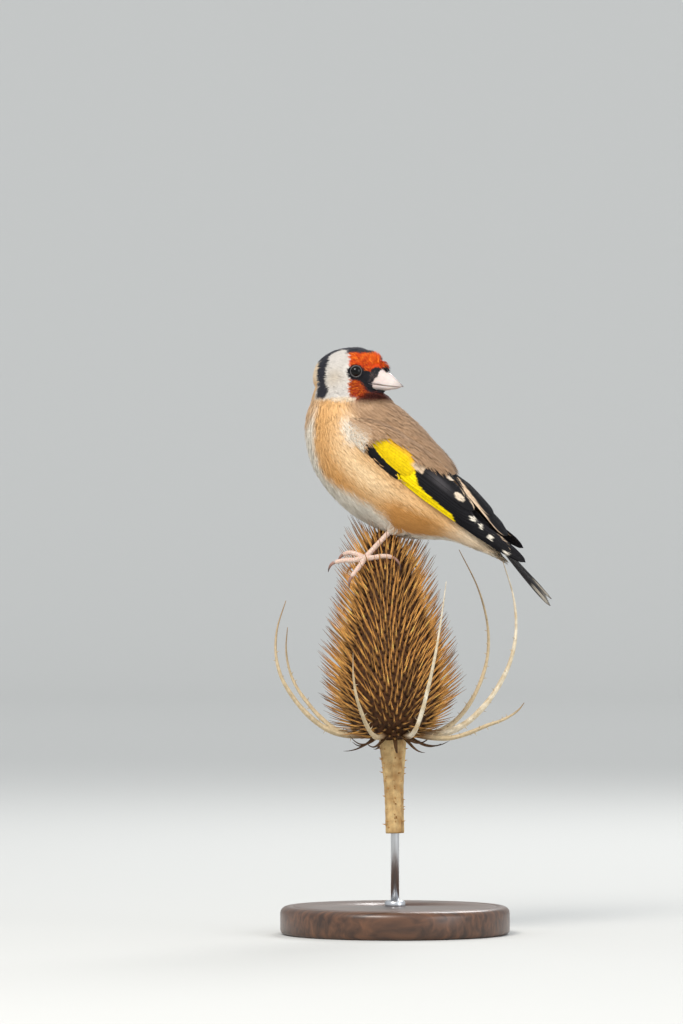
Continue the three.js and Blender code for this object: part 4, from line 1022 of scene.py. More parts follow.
def wing_feather(side, root, tip, half, off, kind, idx, cell, bend=0.0, n=56):
    t = np.linspace(0, 1, n)
    s = root[0] + (tip[0] - root[0]) * t
    q = root[1] + (tip[1] - root[1]) * t + bend * np.sin(math.pi * t)
    q = np.clip(q, 0.0, 1.16)
    nr = wing_normal(s, np.clip(q, 0.02, 0.98), side)
    path = wing(s, q, side) + nr * (0.72 * off - 1.15 - 0.45 * (1 - t) ** 2)[:, None]
    if kind == "yellow":
        path = path - nr * (0.40 * step(0.72, 1.0, t))[:, None]
    jit = rng.normal(0, 0.5)

    def paint(TT, VV, P):
        ss = root[0] + (tip[0] - root[0]) * TT
        # the blade's width in chart units, so that the pattern runs on from feather to feather
        i0 = np.clip((TT * (n - 1)).astype(int), 0, n - 1)
        span = np.linalg.norm(wing(s, np.ones(n), side) - wing(s, np.zeros(n), side), axis=1) + 0.5
        sgn = 1.0 if (np.cross(nr[0], path[1] - path[0]) @ (wing(s[:1], q[:1] + 0.05, side)[0] - wing(s[:1], q[:1], side)[0])) > 0 else -1.0
        qq = q[i0] + sgn * VV * half * 0.9 / span[i0]
        col = wing_colour(ss, np.clip(qq, 0, 1.1), jit, 5.0 if side > 0 else 3.5)
        if kind == "dark":
            col = lerp(np.tile(WING_BLACK, (len(TT), 1)), srgb(70, 62, 54), step(0.9, 1.0, TT) * 0.5)
        elif kind == "yellow":
            col = np.tile(YELLOW, (len(TT), 1)) * (1 - 0.10 * np.abs(VV))[:, None]
            top = np.interp(ss, [1.0, 1.34, 1.92, 2.2], [0.52, 0.66, 0.66, 0.5])
            col = lerp(col, srgb(236, 168, 52), step(0.16, 0.0, top - qq) * 0.75)
            col = lerp(col, WING_CREAM, step(2.02, 2.14, ss) * step(0.44, 0.52, qq))
        else:
            edge = (VV * sgn > 0.80) & (TT > 0.3) & (col[:, 1] < 0.05)
            col[edge] = WING_BLACK * (5.0 if kind == "plain" and qq.mean() > 0.9 else 2.6)
        return col
    return vane(path, nr, half, colour=paint, cell=cell, across=11, tone=np.clip(1 + rng.normal(0, 0.05), 0.85, 1.15))


def wing_set():
    out = []
    # outer flight feathers, the outermost lowest in the stack
    tips = [(4.98, 0.30), (4.99, 0.50), (4.94, 0.62), (4.84, 0.46), (4.70, 0.30), (4.52, 0.26), (4.36, 0.30), (4.20, 0.36), (4.08, 0.40)]
    for i, t in enumerate(tips):
        out.append(("primary", i, (1.9, 0.03 + 0.018 * i), t, 2.1 if i < 2 else 1.8, 0.0 + 0.05 * i, -0.03))
    tips = [(3.98, 0.43), (3.88, 0.48), (3.78, 0.52), (3.68, 0.56), (3.58, 0.61), (3.48, 0.66)]
    for i, t in enumerate(tips):
        out.append(("secondary", i, (1.7, 0.16 + 0.075 * i), t, 2.25, 0.46 + 0.075 * i, -0.02))
    for i, t in enumerate([(4.42, 1.02), (3.95, 1.08)]):
        out.append(("plain", i, (2.78, 1.0 + 0.04 * i), t, 2.1, 0.66 + 0.2 * i, 0.02))
    for i, t in enumerate([(3.66, 0.72), (3.33, 0.78), (2.90, 0.90)]):
        out.append(("tertial", i, (1.9, 0.56 + 0.07 * i), t, (2.6, 2.3, 1.9)[i], 0.96 + 0.13 * i, 0.0))
    # coverts over the roots of the outer feathers, and the thumb feathers
    for i in range(5):
        out.append(("plain", i, (1.25, 0.02 + 0.02 * i), (2.12 - 0.06 * i, 0.03 + 0.035 * i), 0.95, 0.62 + 0.05 * i, 0.0))
    for i in range(3):
        out.append(("plain", i, (0.80, 0.06 + 0.05 * i), (1.86 - 0.16 * i, 0.05 + 0.055 * i), 1.15, 0.95 + 0.08 * i, 0.0))
    # greater coverts: yellow, the upper ones tipped with cream
    for i in range(9):
        q0, q1 = 0.26 + 0.050 * i, 0.225 + 0.062 * i
        out.append(("yellow", i, (1.0, q0), (2.20 + 0.06 * math.sin(i * 0.9), q1), 1.30, 1.02 + 0.05 * i, 0.0))
    # median and lesser coverts
    for i in range(8):
        out.append(("dark", i, (0.74, 0.06 + 0.085 * i), (1.13 + 0.02 * math.sin(2.1 * i), 0.10 + 0.080 * i), 1.30, 1.22 - 0.02 * i, 0.0))
    return out


def make_wing(side, name, nodes):
    spec = wing_set()
    cols = 8
    rows = math.ceil(len(spec) / cols)
    parts = []
    for k, (kind, idx, r, t, half, off, bend) in enumerate(spec):
        cell = ((k % cols) / cols, (k // cols) / rows, 1 / cols, 1 / rows)
        parts.append(wing_feather(side, r, t, half, off, kind, idx, cell, bend))
    v, f, col, barb, uv = merge(parts)
    ob = make(name, v, f, color=col, uv=uv, barb=barb)
    place(ob, M_VANE, "wing_feathers", *nodes)


make_wing(1, "wing_feathers_left", ["wing_left"])
make_wing(-1, "wing_feathers_right", ["wing_right"])


def make_tail():
    parts = []
    order = [5.5, -5.5, 4.5, -4.5, 3.5, -3.5, 2.5, -2.5, 1.5, -1.5, 0.5, -0.5]
    n = 26
    t = np.linspace(0, 1, n)
    for k, i in enumerate(order):
        f = i / 5.5
        a1 = TAIL["tip"] + TAIL["notch"] * (1 - abs(f)) * 0.9
        aa = -30 + (a1 + 30) * t
        tt = np.clip((aa - TAIL["root"]) / (TAIL["tip"] - TAIL["root"]), 0, 1)
        roll = rad(TAIL["roll"]) * np.sin(math.pi / 2 * np.minimum(1, tt * 1.15))
        yy = f * (1.3 + 1.7 * t)
        zz = 0.62 - 0.115 * abs(i) + 0.1 * np.sin(math.pi * t) - 0.25 * t
        path = body(aa, yy * np.cos(roll) - zz * np.sin(roll), TAIL["rootC"] + (TAIL["tipC"] - TAIL["rootC"]) * tt + yy * np.sin(roll) + zz * np.cos(roll))
        nrm = unit(np.cos(roll)[:, None] * D - np.sin(roll)[:, None] * L + 0.10 * f * L)
        fs = 1.0 if f > 0 else -1.0

        def paint(TT, VV, P, f=f, i=i, fs=fs):
            col = np.tile(WING_BLACK * 1.6, (len(TT), 1))
            rim = step(0.80, 0.95, np.abs(VV)) * step(0.2, 0.5, TT)
            col = lerp(col, srgb(96, 96, 100), rim * 0.55)
            spot = np.exp(-((TT - 0.945) / 0.045) ** 2 - (VV / 0.75) ** 2)
            col = lerp(col, WHITE * 0.9, np.clip(spot * (1.8 if abs(i) < 5 else 1.3), 0, 1))
            if abs(i) > 3:
                panel = step(0.10, 0.05, np.abs(TT - 0.87)) * step(0.70, 0.35, np.abs(VV))
                col = lerp(col, WHITE * 0.9, panel * 0.9)
            return col
        cell = ((k % 6) / 6, (k // 6) / 2, 1 / 6, 1 / 2)
        parts.append(vane(path, nrm, 2.0, colour=paint, cell=cell, camber=0.3))
    v, fc, col, barb, uv = merge(parts)
    ob = make("tail_feathers", v, fc, color=col, uv=uv, barb=barb)
    place(ob, M_VANE, "tail_feathers", "tail")


make_tail()


# ------------------------------------------------------------------ bill
def bill_part(upper):
    n, m = 46, 40
    length = BILL["tip"] - BILL["root"] - (0 if upper else 0.9)
    u = np.linspace(0, 1, n) ** 0.9
    x = BILL["root"] + u * length
    taper = (1 - u) ** (BILL["tu"] + 0.08 if upper else BILL["tl"]) * 0.965 + 0.035
    edge = BILL["gape"] - BILL["drop"] * u ** 1.15 + (1 if upper else -1) * 0.03
    edge = edge + 0.16 * np.sin(np.clip(u * 2.2, 0, 1) * math.pi) * (1 if upper else 1)
    wide = (BILL["wu"] if upper else BILL["wl"]) * ((1 - u) ** 0.84 * 0.97 + 0.03)
    deep = ((BILL["top"] - BILL["gape"]) if upper else (BILL["gape"] - BILL["bottom"])) * taper
    f = np.linspace(0, math.pi, m)
    y = wide[:, None] * np.cos(f)
    z = edge[:, None] + (1 if upper else -1) * deep[:, None] * np.sin(f) ** (0.92 if upper else 0.75)
    top = head(x[:, None] + 0 * y, y, z)
    w2 = np.linspace(-0.94, 0.94, 14)
    under = head(x[:, None] + 0 * w2, wide[:, None] * w2, edge[:, None] + 0.0 * w2 + (1 if upper else -1) * 0.04)
    rings = np.concatenate([top, under], 1)
    verts, faces = loft(rings)
    hx, hyy, hz = to_head(verts)
    uu = np.clip((hx - BILL["root"]) / (BILL["tip"] - BILL["root"]), 0, 1)
    ivory, pink, tip = srgb(214, 202, 196), srgb(202, 176, 168), srgb(66, 56, 56)
    col = lerp(ivory, pink, np.clip(0.75 - 1.3 * uu, 0, 1) * 0.6)
    col = col * (1 - 0.07 * (0.5 + 0.5 * wobble(np.stack([hx * 0.35, hyy * 1.6, hz * 1.6], 1), 0.8, 21)))[:, None]
    col = lerp(col, srgb(150, 138, 134), step(0.62, 0.95, uu) * 0.5)
    col = lerp(col, tip, step(0.90, 1.0, uu) * 0.85)
    if upper:
        ridge = np.exp(-(hyy / 0.5) ** 2) * step(0.35, 0.8, uu) * (hz > -0.8)
        col = lerp(col, tip, ridge * 0.55)
    # painted shade along the gape, darker where the two halves meet
    col = lerp(col, srgb(168, 146, 134), step(0.2, 0.0, np.abs(hz - np.interp(uu, u, edge))) * 0.35)
    if upper:
        # nostril, low on each side near the root: a dark spot painted as the shade inside the opening
        d = np.hypot((hx - 9.9) / 0.55, (hz - 1.3) / 0.38)
        col = lerp(col, srgb(60, 40, 36), step(1.1, 0.7, d))
    return verts, faces, col


for upper, name, nd in ((True, "bill_upper_horn", "bill_upper"), (False, "bill_lower_horn", "bill_lower")):
    v, f, col = bill_part(upper)
    place(make(name, v, f, color=col), M_BILL, "bill", nd)


# ------------------------------------------------------------------ eyes and lids
def sphere(centre, axis, r, n=40, m=64):
    axis = unit(axis)
    u = unit(np.cross(np.array([0, 0, 1.0]), axis))
    v = np.cross(axis, u)
    th = np.linspace(0.02, math.pi - 0.02, n)
    f = np.arange(m) * 2 * math.pi / m
    rings = centre + r * (np.cos(th)[:, None, None] * axis + np.sin(th)[:, None, None] * (np.cos(f)[None, :, None] * u + np.sin(f)[None, :, None] * v))
    return loft(rings[::-1]), th


M_EYE, t, b_ = material("eye_wet", 0.05, Specular_IOR_Level=0.26, Coat_Weight=0.12, Coat_Roughness=0.02, IOR=1.38)
at = node(t, "ShaderNodeVertexColor", layer_name="Col")
n_ = noise(t, 2500, 3)
vary(t, b_, at.outputs["Color"], n_.outputs["Fac"], 0.85, 1.15)
M_LID = painted("eyelid", 0.42, 2200, 0.8, 1.2, 0.4, 0.0001, Specular_IOR_Level=0.5)

for side, name in ((1, "left"), (-1, "right")):
    centre = head(EYE["x"], side * EYE["out"], EYE["z"])
    axis = unit(0.34 * HF + side * 0.93 * HL + 0.06 * HU)
    (v, f), th = sphere(centre, axis, EYE["r"])
    ca = np.clip(((v - centre) @ axis) / EYE["r"], -1, 1)
    ang = np.degrees(np.arccos(ca))
    col = lerp(srgb(5, 4, 4), srgb(15, 10, 8), step(29, 33, ang))
    col = lerp(col, srgb(8, 6, 6), step(46, 54, ang))
    place(make(f"eyeball_{name}", v, f, color=col), M_EYE, "eye", f"eye_{name}")
    # upper and lower lid: a thin rim, drawn in a little at the corners
    u = unit(HF - axis * (HF @ axis))
    w = np.cross(axis, u) * (1 if side < 0 else -1)
    for lid, (a0, a1, up) in {"upper": (-8, 188, 1), "lower": (172, 368, -1)}.items():
        k = np.radians(np.linspace(a0, a1, 60))
        rr = 2.02 * (1 - 0.02 * np.cos(2 * k))
        out = np.sqrt(np.maximum((EYE["r"] + 0.12) ** 2 - rr ** 2, 0))
        path = centre + (rr * np.cos(k))[:, None] * u + (rr * np.sin(k) * 0.97)[:, None] * w + out[:, None] * axis
        ends = np.sin(np.linspace(0, math.pi, 60)) ** 0.4
        rings = sweep(path, 0.22 * (0.35 + 0.65 * ends), 12)
        v, f = loft(rings)
        col = np.tile(srgb(66, 62, 62), (len(v), 1))
        near = np.linalg.norm(v - centre, axis=1)
        col = lerp(col, srgb(120, 118, 118), step(2.50, 2.42, near) * 0.8)
        place(make(f"lid_{lid}_{name}", v, f, color=col), M_LID, "eye")


# ------------------------------------------------------------------ legs, feet and claws
LEG, LEG_PALE, LEG_DARK = srgb(208, 180, 164), srgb(220, 198, 184), srgb(176, 142, 124)


def scaled_tube(path, radii, rings_mm, sides=20, up=np.array([0, 0, 1.0]), amount=0.05):
    ln = np.linalg.norm(np.diff(path, axis=0), axis=1).sum()
    cnt = max(2, ln / rings_mm)

    def shape(t, ang):
        saw = (t * cnt) % 1.0
        return 1 + amount * (0.5 - np.abs(saw - 0.35)) * 1.6 + 0.012 * np.sin(ang * 3 + t * 9)
    rings = sweep(path, radii, sides, shape=shape)
    t = np.linspace(0, 1, len(path))
    saw = (t * cnt) % 1.0
    groove = np.exp(-((saw - 0.98) / 0.10) ** 2) + np.exp(-((saw + 0.02) / 0.08) ** 2)
    col = np.repeat(lerp(LEG, LEG_DARK, np.clip(groove, 0, 1) * 0.55)[:, None], sides, 1)
    nrm = unit(rings - path[:, None])
    under = step(0.0, -0.8, (nrm @ up))
    col = lerp(col, LEG_PALE, under * 0.6)
    v, f = loft(rings)
    col = np.concatenate([col.reshape(-1, 3), col[:1].mean(1), col[-1:].mean(1)])
    return v, f, col


for side in ("left", "right"):
    heel, foot = (np.array(v) for v in LEGS[side])
    d = leg_dir(side)
    n = 90
    path = heel + np.linspace(-0.02, 1.02, n)[:, None] * (foot - heel)
    t = np.linspace(0, 1, n)
    r = 0.90 + 0.20 * np.exp(-(t / 0.10) ** 2) + 0.14 * np.exp(-((1 - t) / 0.10) ** 2)
    v, f, col = scaled_tube(path, r, 1.15)
    place(make(f"shank_{side}", v, f, color=col), M_SCALE, "leg_skin", f"tarsus_{side}")
    parts = []
    for toe in TOES[side]:
        p = toe_path(side, toe)
        n = 96
        path = resample(p, n)
        t = np.linspace(0, 1, n)
        r = TOE["base"] + (TOE["end"] - TOE["base"]) * t
        # pads between the joints, a blunt end over the claw
        r = r * (0.93 + 0.10 * np.abs(np.sin(math.pi * t * 3)) ** 0.8)
        r = r * np.clip(np.sqrt(np.clip((1.02 - t) / 0.07, 0.05, 1)), 0, 1)
        parts.append(scaled_tube(path, r, 0.85))
        cp = resample(claw_path(side, toe), 30)
        u = np.linspace(0, 1, 30)
        cr = TOE["claw"] * 1.04 * (1 - u) ** 0.75 + 0.05
        v, f = loft(sweep(cp, cr, 14, shape=lambda tt, ang: 1 + 0.0 * ang + 0.0 * tt))
        cc = lerp(srgb(150, 112, 98), srgb(62, 44, 38), step(0.1, 0.9, np.clip(np.concatenate([np.repeat(u, 14), [0, 1]]), 0, 1)))
        place(make(f"claw_horn_{side}_{toe[0]}", v, f, color=cc), M_HORN, "claw", f"claw_{side}_{toe[0]}")
    # ankle ball where the toes meet
    (v, f), _ = sphere(foot, np.array([0.1, 0.2, 1.0]), TOE["base"] + 0.1, 16, 24)
    parts.append((v, f, np.tile(LEG, (len(v), 1))))
    v, f, col = merge(parts)
    place(make(f"toes_{side}", v, f, color=col), M_SCALE, "leg_skin", f"foot_{side}")

TOE_POINTS = np.concatenate([resample(toe_path(s, t), 24) for s in TOES for t in TOES[s]] + [resample(claw_path(s, t), 14) for s in TOES for t in TOES[s]]
                            + [np.array(LEGS[s][0]) + np.linspace(0, 1, 16)[:, None] * (np.array(LEGS[s][1]) - np.array(LEGS[s][0])) for s in LEGS])


# ------------------------------------------------------------------ teasel head
AX = unit(AXIS_HIGH - AXIS_LOW)
AU = unit(np.array([1.0, 0, 0]) - AX * AX[0])
AV = np.cross(AX, AU)
CT, CR = np.array([c[0] for c in CORE]), np.array([c[1] for c in CORE])


def core_radius(t):
    i = np.clip(np.searchsorted(CT, t, side="right") - 1, 0, len(CT) - 2)
    u = (t - CT[i]) / (CT[i + 1] - CT[i])
    return np.maximum(smooth(CR, i + u), 0.5)


def inside_body(p, grow=0.6):
    a, b, c = to_body(p)
    s = np.interp(a, BODY[:, 0], np.arange(len(BODY)))
    v = smooth(BODY, s)
    return (((c - v[:, 1]) / (v[:, 2] + grow)) ** 2 + (b / (v[:, 3] + grow)) ** 2 < 1) & (a > -48) & (a < 38)


HEIGHT = np.linalg.norm(AXIS_HIGH - AXIS_LOW)
tt = np.linspace(0.0, 1.0, 70)
ff = np.arange(72) * 2 * math.pi / 72
rr = core_radius(tt) - 0.9
ringpts = AXIS_LOW + AX * (tt * HEIGHT)[:, None, None].reshape(-1, 1, 1) + (rr[:, None, None] * (np.cos(ff)[None, :, None] * AU + np.sin(ff)[None, :, None] * AV))
v, f = loft(ringpts)
wob = wobble(v, 1.2, 5)
col = lerp(srgb(96, 58, 26), srgb(44, 28, 16), 0.5 + 0.5 * wob)
core = make("teasel_core", v, f, color=col)
place(core, M_TEASEL, "teasel", "perch_teasel")

SP = 1250
grid = np.linspace(0.012, 0.995, 400)
g_area = core_radius(grid) + 1.5
cum = np.cumsum(g_area)
cum = (cum - cum[0]) / (cum[-1] - cum[0])
ti = np.interp((np.arange(SP) + 0.5) / SP, cum, grid)
an = np.arange(SP) * rad(137.508)
ri = core_radius(ti)
slope = (core_radius(np.minimum(ti + 0.01, 1)) - core_radius(np.maximum(ti - 0.01, 0))) / (0.02 * HEIGHT)
outd = np.cos(an)[:, None] * AU + np.sin(an)[:, None] * AV
nr = unit(outd - AX * np.clip(slope, -2.5, 1.2)[:, None])
basep = AXIS_LOW + AX * (ti * HEIGHT)[:, None] + outd * (ri - 1.0)[:, None]
lean = 0.72 + 0.36 * step(0.45, 1.0, ti)
dirs = unit(nr + AX * lean[:, None] + rng.normal(0, 0.07, (SP, 3)))
lens = (10.3 + 1.5 * step(0.45, 0.95, ti) - 1.6 * step(0.15, 0.0, ti)) * np.clip(1 + rng.normal(0, 0.10, SP), 0.7, 1.3)


def clear_length(base, d, ln, curve):
    """How long each bristle can be before it meets the bird."""
    best = ln.copy()
    for u in np.linspace(0.3, 1.0, 15)[::-1]:
        p = base + d * (ln * u)[:, None] + curve * (u * u)
        hit = inside_body(p, 0.2)
        dd = np.sqrt(((p[:, None] - TOE_POINTS[None]) ** 2).sum(-1)).min(1)
        hit |= dd < 1.15
        best = np.where(hit, np.minimum(best, ln * (u - 0.05)), best)
    return best


curve = AX[None] * (0.9 * lens / 8)[:, None]
lens2 = clear_length(basep, dirs, lens, curve)
prof_u = np.array([0, 0.10, 0.20, 0.34, 0.55, 0.78, 1.0])
prof_r = np.array([0.48, 0.46, 0.34, 0.25, 0.18, 0.12, 0.03])
SIDES = 5
pal_a, pal_b, pal_c = srgb(232, 174, 94), srgb(190, 134, 70), srgb(98, 68, 46)
q = np.arange(SIDES) * 2 * math.pi / SIDES
path = basep[:, None] + dirs[:, None] * (lens2[:, None] * prof_u)[..., None] + curve[:, None] * (prof_u ** 2)[None, :, None] * (lens2 / lens)[:, None, None] ** 2
U = unit(np.cross(dirs, AX[None] + 0.001))
W2 = np.cross(dirs, U)
rads = prof_r[None] * np.clip(1 + rng.normal(0, 0.1, SP), 0.7, 1.3)[:, None]
wide = np.where(prof_u < 0.15, 1.3, 1.0)
rings = path[:, :, None] + (rads * wide)[..., None, None] * np.cos(q)[None, None, :, None] * U[:, None, None] + rads[..., None, None] * np.sin(q)[None, None, :, None] * W2[:, None, None]
nv = len(prof_u) * SIDES
allv = rings.reshape(SP * nv, 3)
quads = (ring_faces(len(prof_u), SIDES)[None] + (np.arange(SP) * nv)[:, None, None]).reshape(-1, 4)
capt = np.array([[nv - SIDES, nv - SIDES + 1, nv - SIDES + 2], [nv - SIDES, nv - SIDES + 2, nv - SIDES + 3], [nv - SIDES, nv - SIDES + 3, nv - SIDES + 4],
                 [2, 1, 0], [3, 2, 0], [4, 3, 0]])
capt = (capt[None] + (np.arange(SP) * nv)[:, None, None]).reshape(-1, 3)
tone = np.clip(1 + rng.normal(0, 0.34, SP), 0.45, 1.9)
# bristles darker near the bottom of the head: painted shade under the head
dark = 0.6 + 0.4 * step(0.02, 0.25, ti)
cu = np.repeat(prof_u, SIDES)
basecol = lerp(lerp(lerp(pal_c * 0.7, pal_a, step(0.05, 0.32, cu)), pal_b, step(0.35, 0.65, cu)), pal_c, step(0.6, 1.0, cu))
cc = np.clip(basecol[None] * (tone * dark)[:, None, None], 0, 1)
uvx = np.stack([(an / (2 * math.pi)) % 1, ti], 1)
uvl = np.stack([np.tile(np.linspace(-0.002, 0.002, SIDES), len(prof_u)), np.repeat(np.linspace(-0.004, 0.004, len(prof_u)), SIDES)], 1)
uv = (uvx[:, None] * 0.97 + 0.015 + uvl[None]).reshape(-1, 2)
place(make("teasel_bristles", allv, [quads, capt], color=cc.reshape(-1, 3), uv=uv), M_TEASEL, "teasel")


# ------------------------------------------------------------------ bracts, stem and prickles
def cone(base, d, ln, r, sides=5):
    p = base + np.linspace(-0.1, 1, 4)[:, None] * d * ln
    return loft(sweep(p, r * np.array([1.3, 0.8, 0.4, 0.06]), sides))


straw, straw_pale, straw_dark = srgb(196, 176, 142), srgb(232, 222, 200), srgb(120, 88, 56)
for k, (az, spread, rise, hook, thick) in enumerate(BRACTS):
    f0 = rad(az)
    u = np.arange(9) / 8
    reach = BRACT_ROOT[1] - 3 + spread * np.sin(u * math.pi / 2) - hook * u ** 3
    zz = BRACT_ROOT[0] - 3.0 * np.sin(math.pi * np.minimum(1, u * 2.2)) * 0.6 + rise * u ** 1.7
    base = np.stack([AXIS_LOW[0] + reach * math.cos(f0), AXIS_LOW[1] + reach * math.sin(f0), zz], 1)
    n = 90
    path = resample(base, n)
    t = np.linspace(0, 1, n)
    r = thick * (1 - t) ** 0.8 + 0.10
    rings = sweep(path, r, 14, shape=lambda T, A: 1 + 0.16 * np.cos(A * 4) + 0.05 * np.sin(T * 40))
    v, f = loft(rings)
    wv = wobble(v, 2.0, k)
    tv = np.concatenate([np.repeat(t, 14), [0, 1]])
    pale = straw_pale if k in (0, 1) else straw
    col = lerp(lerp(pale, straw, 0.5 + 0.5 * wv), straw_dark, np.maximum(step(0.18, 0.0, tv), step(0.7, 1.0, tv) * (0.2 if k in (0, 1) else 0.7)))
    parts = [(v, f, col)]
    for j in range(14):
        i = int(8 + j * 4.6)
        tg = unit(path[i + 1] - path[i - 1])
        out = rng.normal(size=3)
        out = unit(out - tg * (out @ tg))
        cv, cf = cone(path[i] + out * r[i] * 0.7, unit(out + 0.3 * tg), 1.0 + 0.9 * (1 - t[i]), 0.22)
        parts.append((cv, cf, np.tile(straw * 0.85, (len(cv), 1))))
    v, f, col = merge(parts)
    place(make(f"bract_{k + 1}", v, f, color=col), M_STRAW, "bract", f"perch_bract_{k + 1}")

# short drooping bracts under the head
parts = []
for k in range(11):
    f0 = 2 * math.pi * k / 11 + 0.25
    ln = 11 + 4 * math.sin(k * 2.1)
    u = np.linspace(0, 1, 6)
    reach = 7 + ln * u
    zz = 70.0 - 3.2 * np.sin(u * 2.4) + 3.4 * u ** 2 * math.sin(k * 1.3)
    base = np.stack([AXIS_LOW[0] + reach * math.cos(f0), AXIS_LOW[1] + reach * math.sin(f0), zz], 1)
    path = resample(base, 26)
    v, f = loft(sweep(path, 0.8 * (1 - np.linspace(0, 1, 26)) ** 0.8 + 0.06, 8, squash=0.6))
    parts.append((v, f, lerp(srgb(96, 66, 36), srgb(56, 40, 26), np.concatenate([np.repeat(np.linspace(0, 1, 26), 8), [0, 1]]))))
v, f, col = merge(parts)
place(make("bract_ruff", v, f, color=col), M_STRAW, "bract")

n = 80
t = np.linspace(0, 1, n)
path = np.stack([AXIS_LOW[0] * t, AXIS_LOW[1] * t, 36 + (69.4 - 36) * t], 1)
r = smooth([3.1, 3.3, 4.6], t * 2)
rings = sweep(path, r, 64, shape=lambda T, A: 1 + 0.055 * np.cos(A * 8) + 0.02 * np.cos(A * 16 + 1) + 0.01 * np.sin(T * 60))
rings[0] = path[0] + (rings[0] - path[0]) * 0.97
v, f = loft(rings)
wv = wobble(v, 1.6, 9)
col = lerp(srgb(206, 176, 124), srgb(150, 112, 66), 0.5 + 0.5 * wv)
parts = [(v, f, col)]
for j in range(70):
    i = int(rng.uniform(3, n - 6))
    A = (int(rng.integers(0, 8)) * 2 * math.pi / 8) + rng.normal(0, 0.08)
    out = np.array([math.cos(A), math.sin(A), 0.0])
    cv, cf = cone(path[i] + out * r[i] * 0.95, unit(out + np.array([0, 0, 0.25])), 1.5 * (0.6 + 0.6 * rng.random()), 0.34)
    parts.append((cv, cf, np.tile(srgb(178, 134, 80), (len(cv), 1))))
v, f, col = merge(parts)
place(make("stem_ribbed", v, f, color=col), M_STRAW, "stem", "perch_stem")

# ------------------------------------------------------------------ display stand
M_ROD, t_, b_ = material("brushed_rod", 0.32, Metallic=1.0)
nz = noise(t_, 900, 3, 0.6, "Object", (1, 1, 0.04))
rgb = node(t_, "ShaderNodeRGB")
rgb.outputs[0].default_value = (0.56, 0.57, 0.59, 1)
vary(t_, b_, rgb.outputs[0], nz.outputs["Fac"], 0.85, 1.1)
bump(t_, b_, nz.outputs["Fac"], 0.12, 0.0001)


def lathe(profile, sides=96):
    p = np.array(profile, float)
    f = np.arange(sides) * 2 * math.pi / sides
    rings = np.stack([p[:, None, 0] * np.cos(f), p[:, None, 0] * np.sin(f), np.repeat(p[:, None, 1], sides, 1)], -1)
    return loft(rings)


v, f = lathe([(1.5, 5.0), (1.5, 47.6), (1.3, 48.0)], 48)
place(make("rod_steel", v, f), M_ROD, "rod", "stand_rod")
v, f = lathe([(1.8, 9.6), (3.6, 9.6), (3.7, 10.0), (3.7, 11.4), (3.3, 11.9), (2.0, 12.1), (1.6, 11.9)], 64)
place(make("rod_collar", v, f), M_ROD, "rod")

M_WOOD, t_, b_ = material("dark_wood", 0.36, Coat_Weight=0.25, Coat_Roughness=0.25)
tc = node(t_, "ShaderNodeTexCoord")
mp = node(t_, "ShaderNodeMapping")
mp.inputs["Scale"].default_value = (1.0, 12.0, 4.0)
t_.links.new(tc.outputs["Object"], mp.inputs["Vector"])
wn = node(t_, "ShaderNodeTexNoise")
wn.inputs["Scale"].default_value = 60.0
wn.inputs["Detail"].default_value = 6.0
wn.inputs["Distortion"].default_value = 0.6
t_.links.new(mp.outputs["Vector"], wn.inputs["Vector"])
ramp = node(t_, "ShaderNodeValToRGB")
ramp.color_ramp.elements[0].position = 0.32
ramp.color_ramp.elements[0].color = (*srgb(52, 33, 22), 1)
ramp.color_ramp.elements[1].position = 0.72
ramp.color_ramp.elements[1].color = (*srgb(104, 68, 44), 1)
t_.links.new(wn.outputs["Fac"], ramp.inputs["Fac"])
t_.links.new(ramp.outputs["Color"], b_.inputs["Base Color"])
bump(t_, b_, wn.outputs["Fac"], 0.15, 0.0003)
prof = [(0.01, 0.0), (39.5, 0.0), (40.3, 0.35), (40.8, 0.9), (41.0, 1.7), (41.0, 7.6), (40.8, 8.5), (40.3, 9.2), (39.6, 9.7), (38.8, 9.95), (37.8, 10.0), (36.8, 9.93), (36.4, 9.7), (36.0, 9.93), (35.2, 10.0), (1.8, 10.0), (1.8, 6.0)]
v, f = lathe(prof, 160)
place(make("base_wood", v, f), M_WOOD, "base", "stand_base")

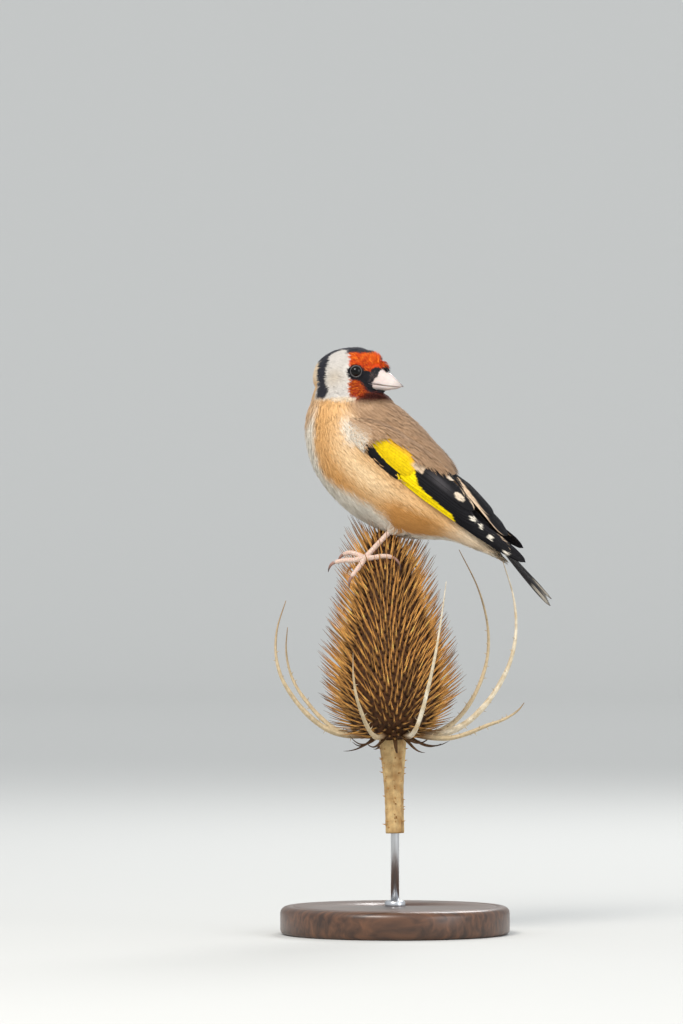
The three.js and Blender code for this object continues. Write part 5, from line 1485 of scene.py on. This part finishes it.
# ------------------------------------------------------------------ stage, light and camera
M_FLOOR, t_, b_ = material("stage_floor", 0.9, Specular_IOR_Level=0.1)
b_.inputs["Base Color"].default_value = (0.56, 0.56, 0.545, 1)
prof_y = np.concatenate([np.linspace(-5500, 3200, 40), 3200 + 1500 * np.sin(np.linspace(0, math.pi / 2, 40)), np.full(20, 4700)])
prof_z = np.concatenate([np.zeros(40), 1500 * (1 - np.cos(np.linspace(0, math.pi / 2, 40))), np.linspace(1500, 6000, 20)])
xs = np.linspace(-5000, 5000, 12)
gv = np.stack([np.repeat(xs[None], 100, 0), np.repeat(prof_y[:, None], 12, 1), np.repeat(prof_z[:, None], 12, 1)], -1).reshape(-1, 3)
i, j = np.meshgrid(np.arange(99), np.arange(11), indexing="ij")
k = (i * 12 + j).reshape(-1)
floor = make("stage", gv, [np.stack([k, k + 1, k + 13, k + 12], -1)])
floor.data.materials.append(M_FLOOR)

world = bpy.data.worlds.new("studio")
bpy.context.scene.world = world
world.use_nodes = True
world.node_tree.nodes["Background"].inputs["Color"].default_value = (0.92, 0.96, 1.0, 1)
world.node_tree.nodes["Background"].inputs["Strength"].default_value = 0.85


def area(name, loc, target, size, power, colour=(1, 1, 1)):
    l = bpy.data.lights.new(name, "AREA")
    l.shape = "DISK"
    l.size = size
    l.energy = power
    l.color = colour
    o = bpy.data.objects.new(name, l)
    o.location = Vector(loc)
    o.rotation_euler = (Vector(target) - Vector(loc)).to_track_quat("-Z", "Y").to_euler()
    bpy.context.scene.collection.objects.link(o)


area("key", (-0.45, -0.95, 1.15), (0, 0, 0.15), 0.6, 17, (1.0, 0.96, 0.90))
area("fill", (1.1, -0.8, 0.5), (0, 0, 0.15), 0.9, 6.0, (0.95, 0.97, 1.0))
area("back", (0.3, 0.9, 0.9), (0, 0, 0.16), 0.5, 6.0)

area("wall_left", (-1.6, 2.2, 2.4), (0, 4.6, 0.6), 1.5, 14)
area("wall_right", (1.6, 2.2, 2.4), (0, 4.6, 0.6), 1.5, 14)

scene = bpy.context.scene
scene.view_settings.view_transform = "Standard"
cam = bpy.data.cameras.new("camera")
cam.sensor_fit = "AUTO"
cam.sensor_width = 36.0
cam.lens = 36.0 * 2.5 / 0.3657
cam.clip_start = 0.05
cam.clip_end = 20.0
co = bpy.data.objects.new("camera", cam)
co.location = (-0.0191, -2.5, 0.1507)
co.rotation_euler = (math.pi / 2, 0, 0)
scene.collection.objects.link(co)
scene.camera = co
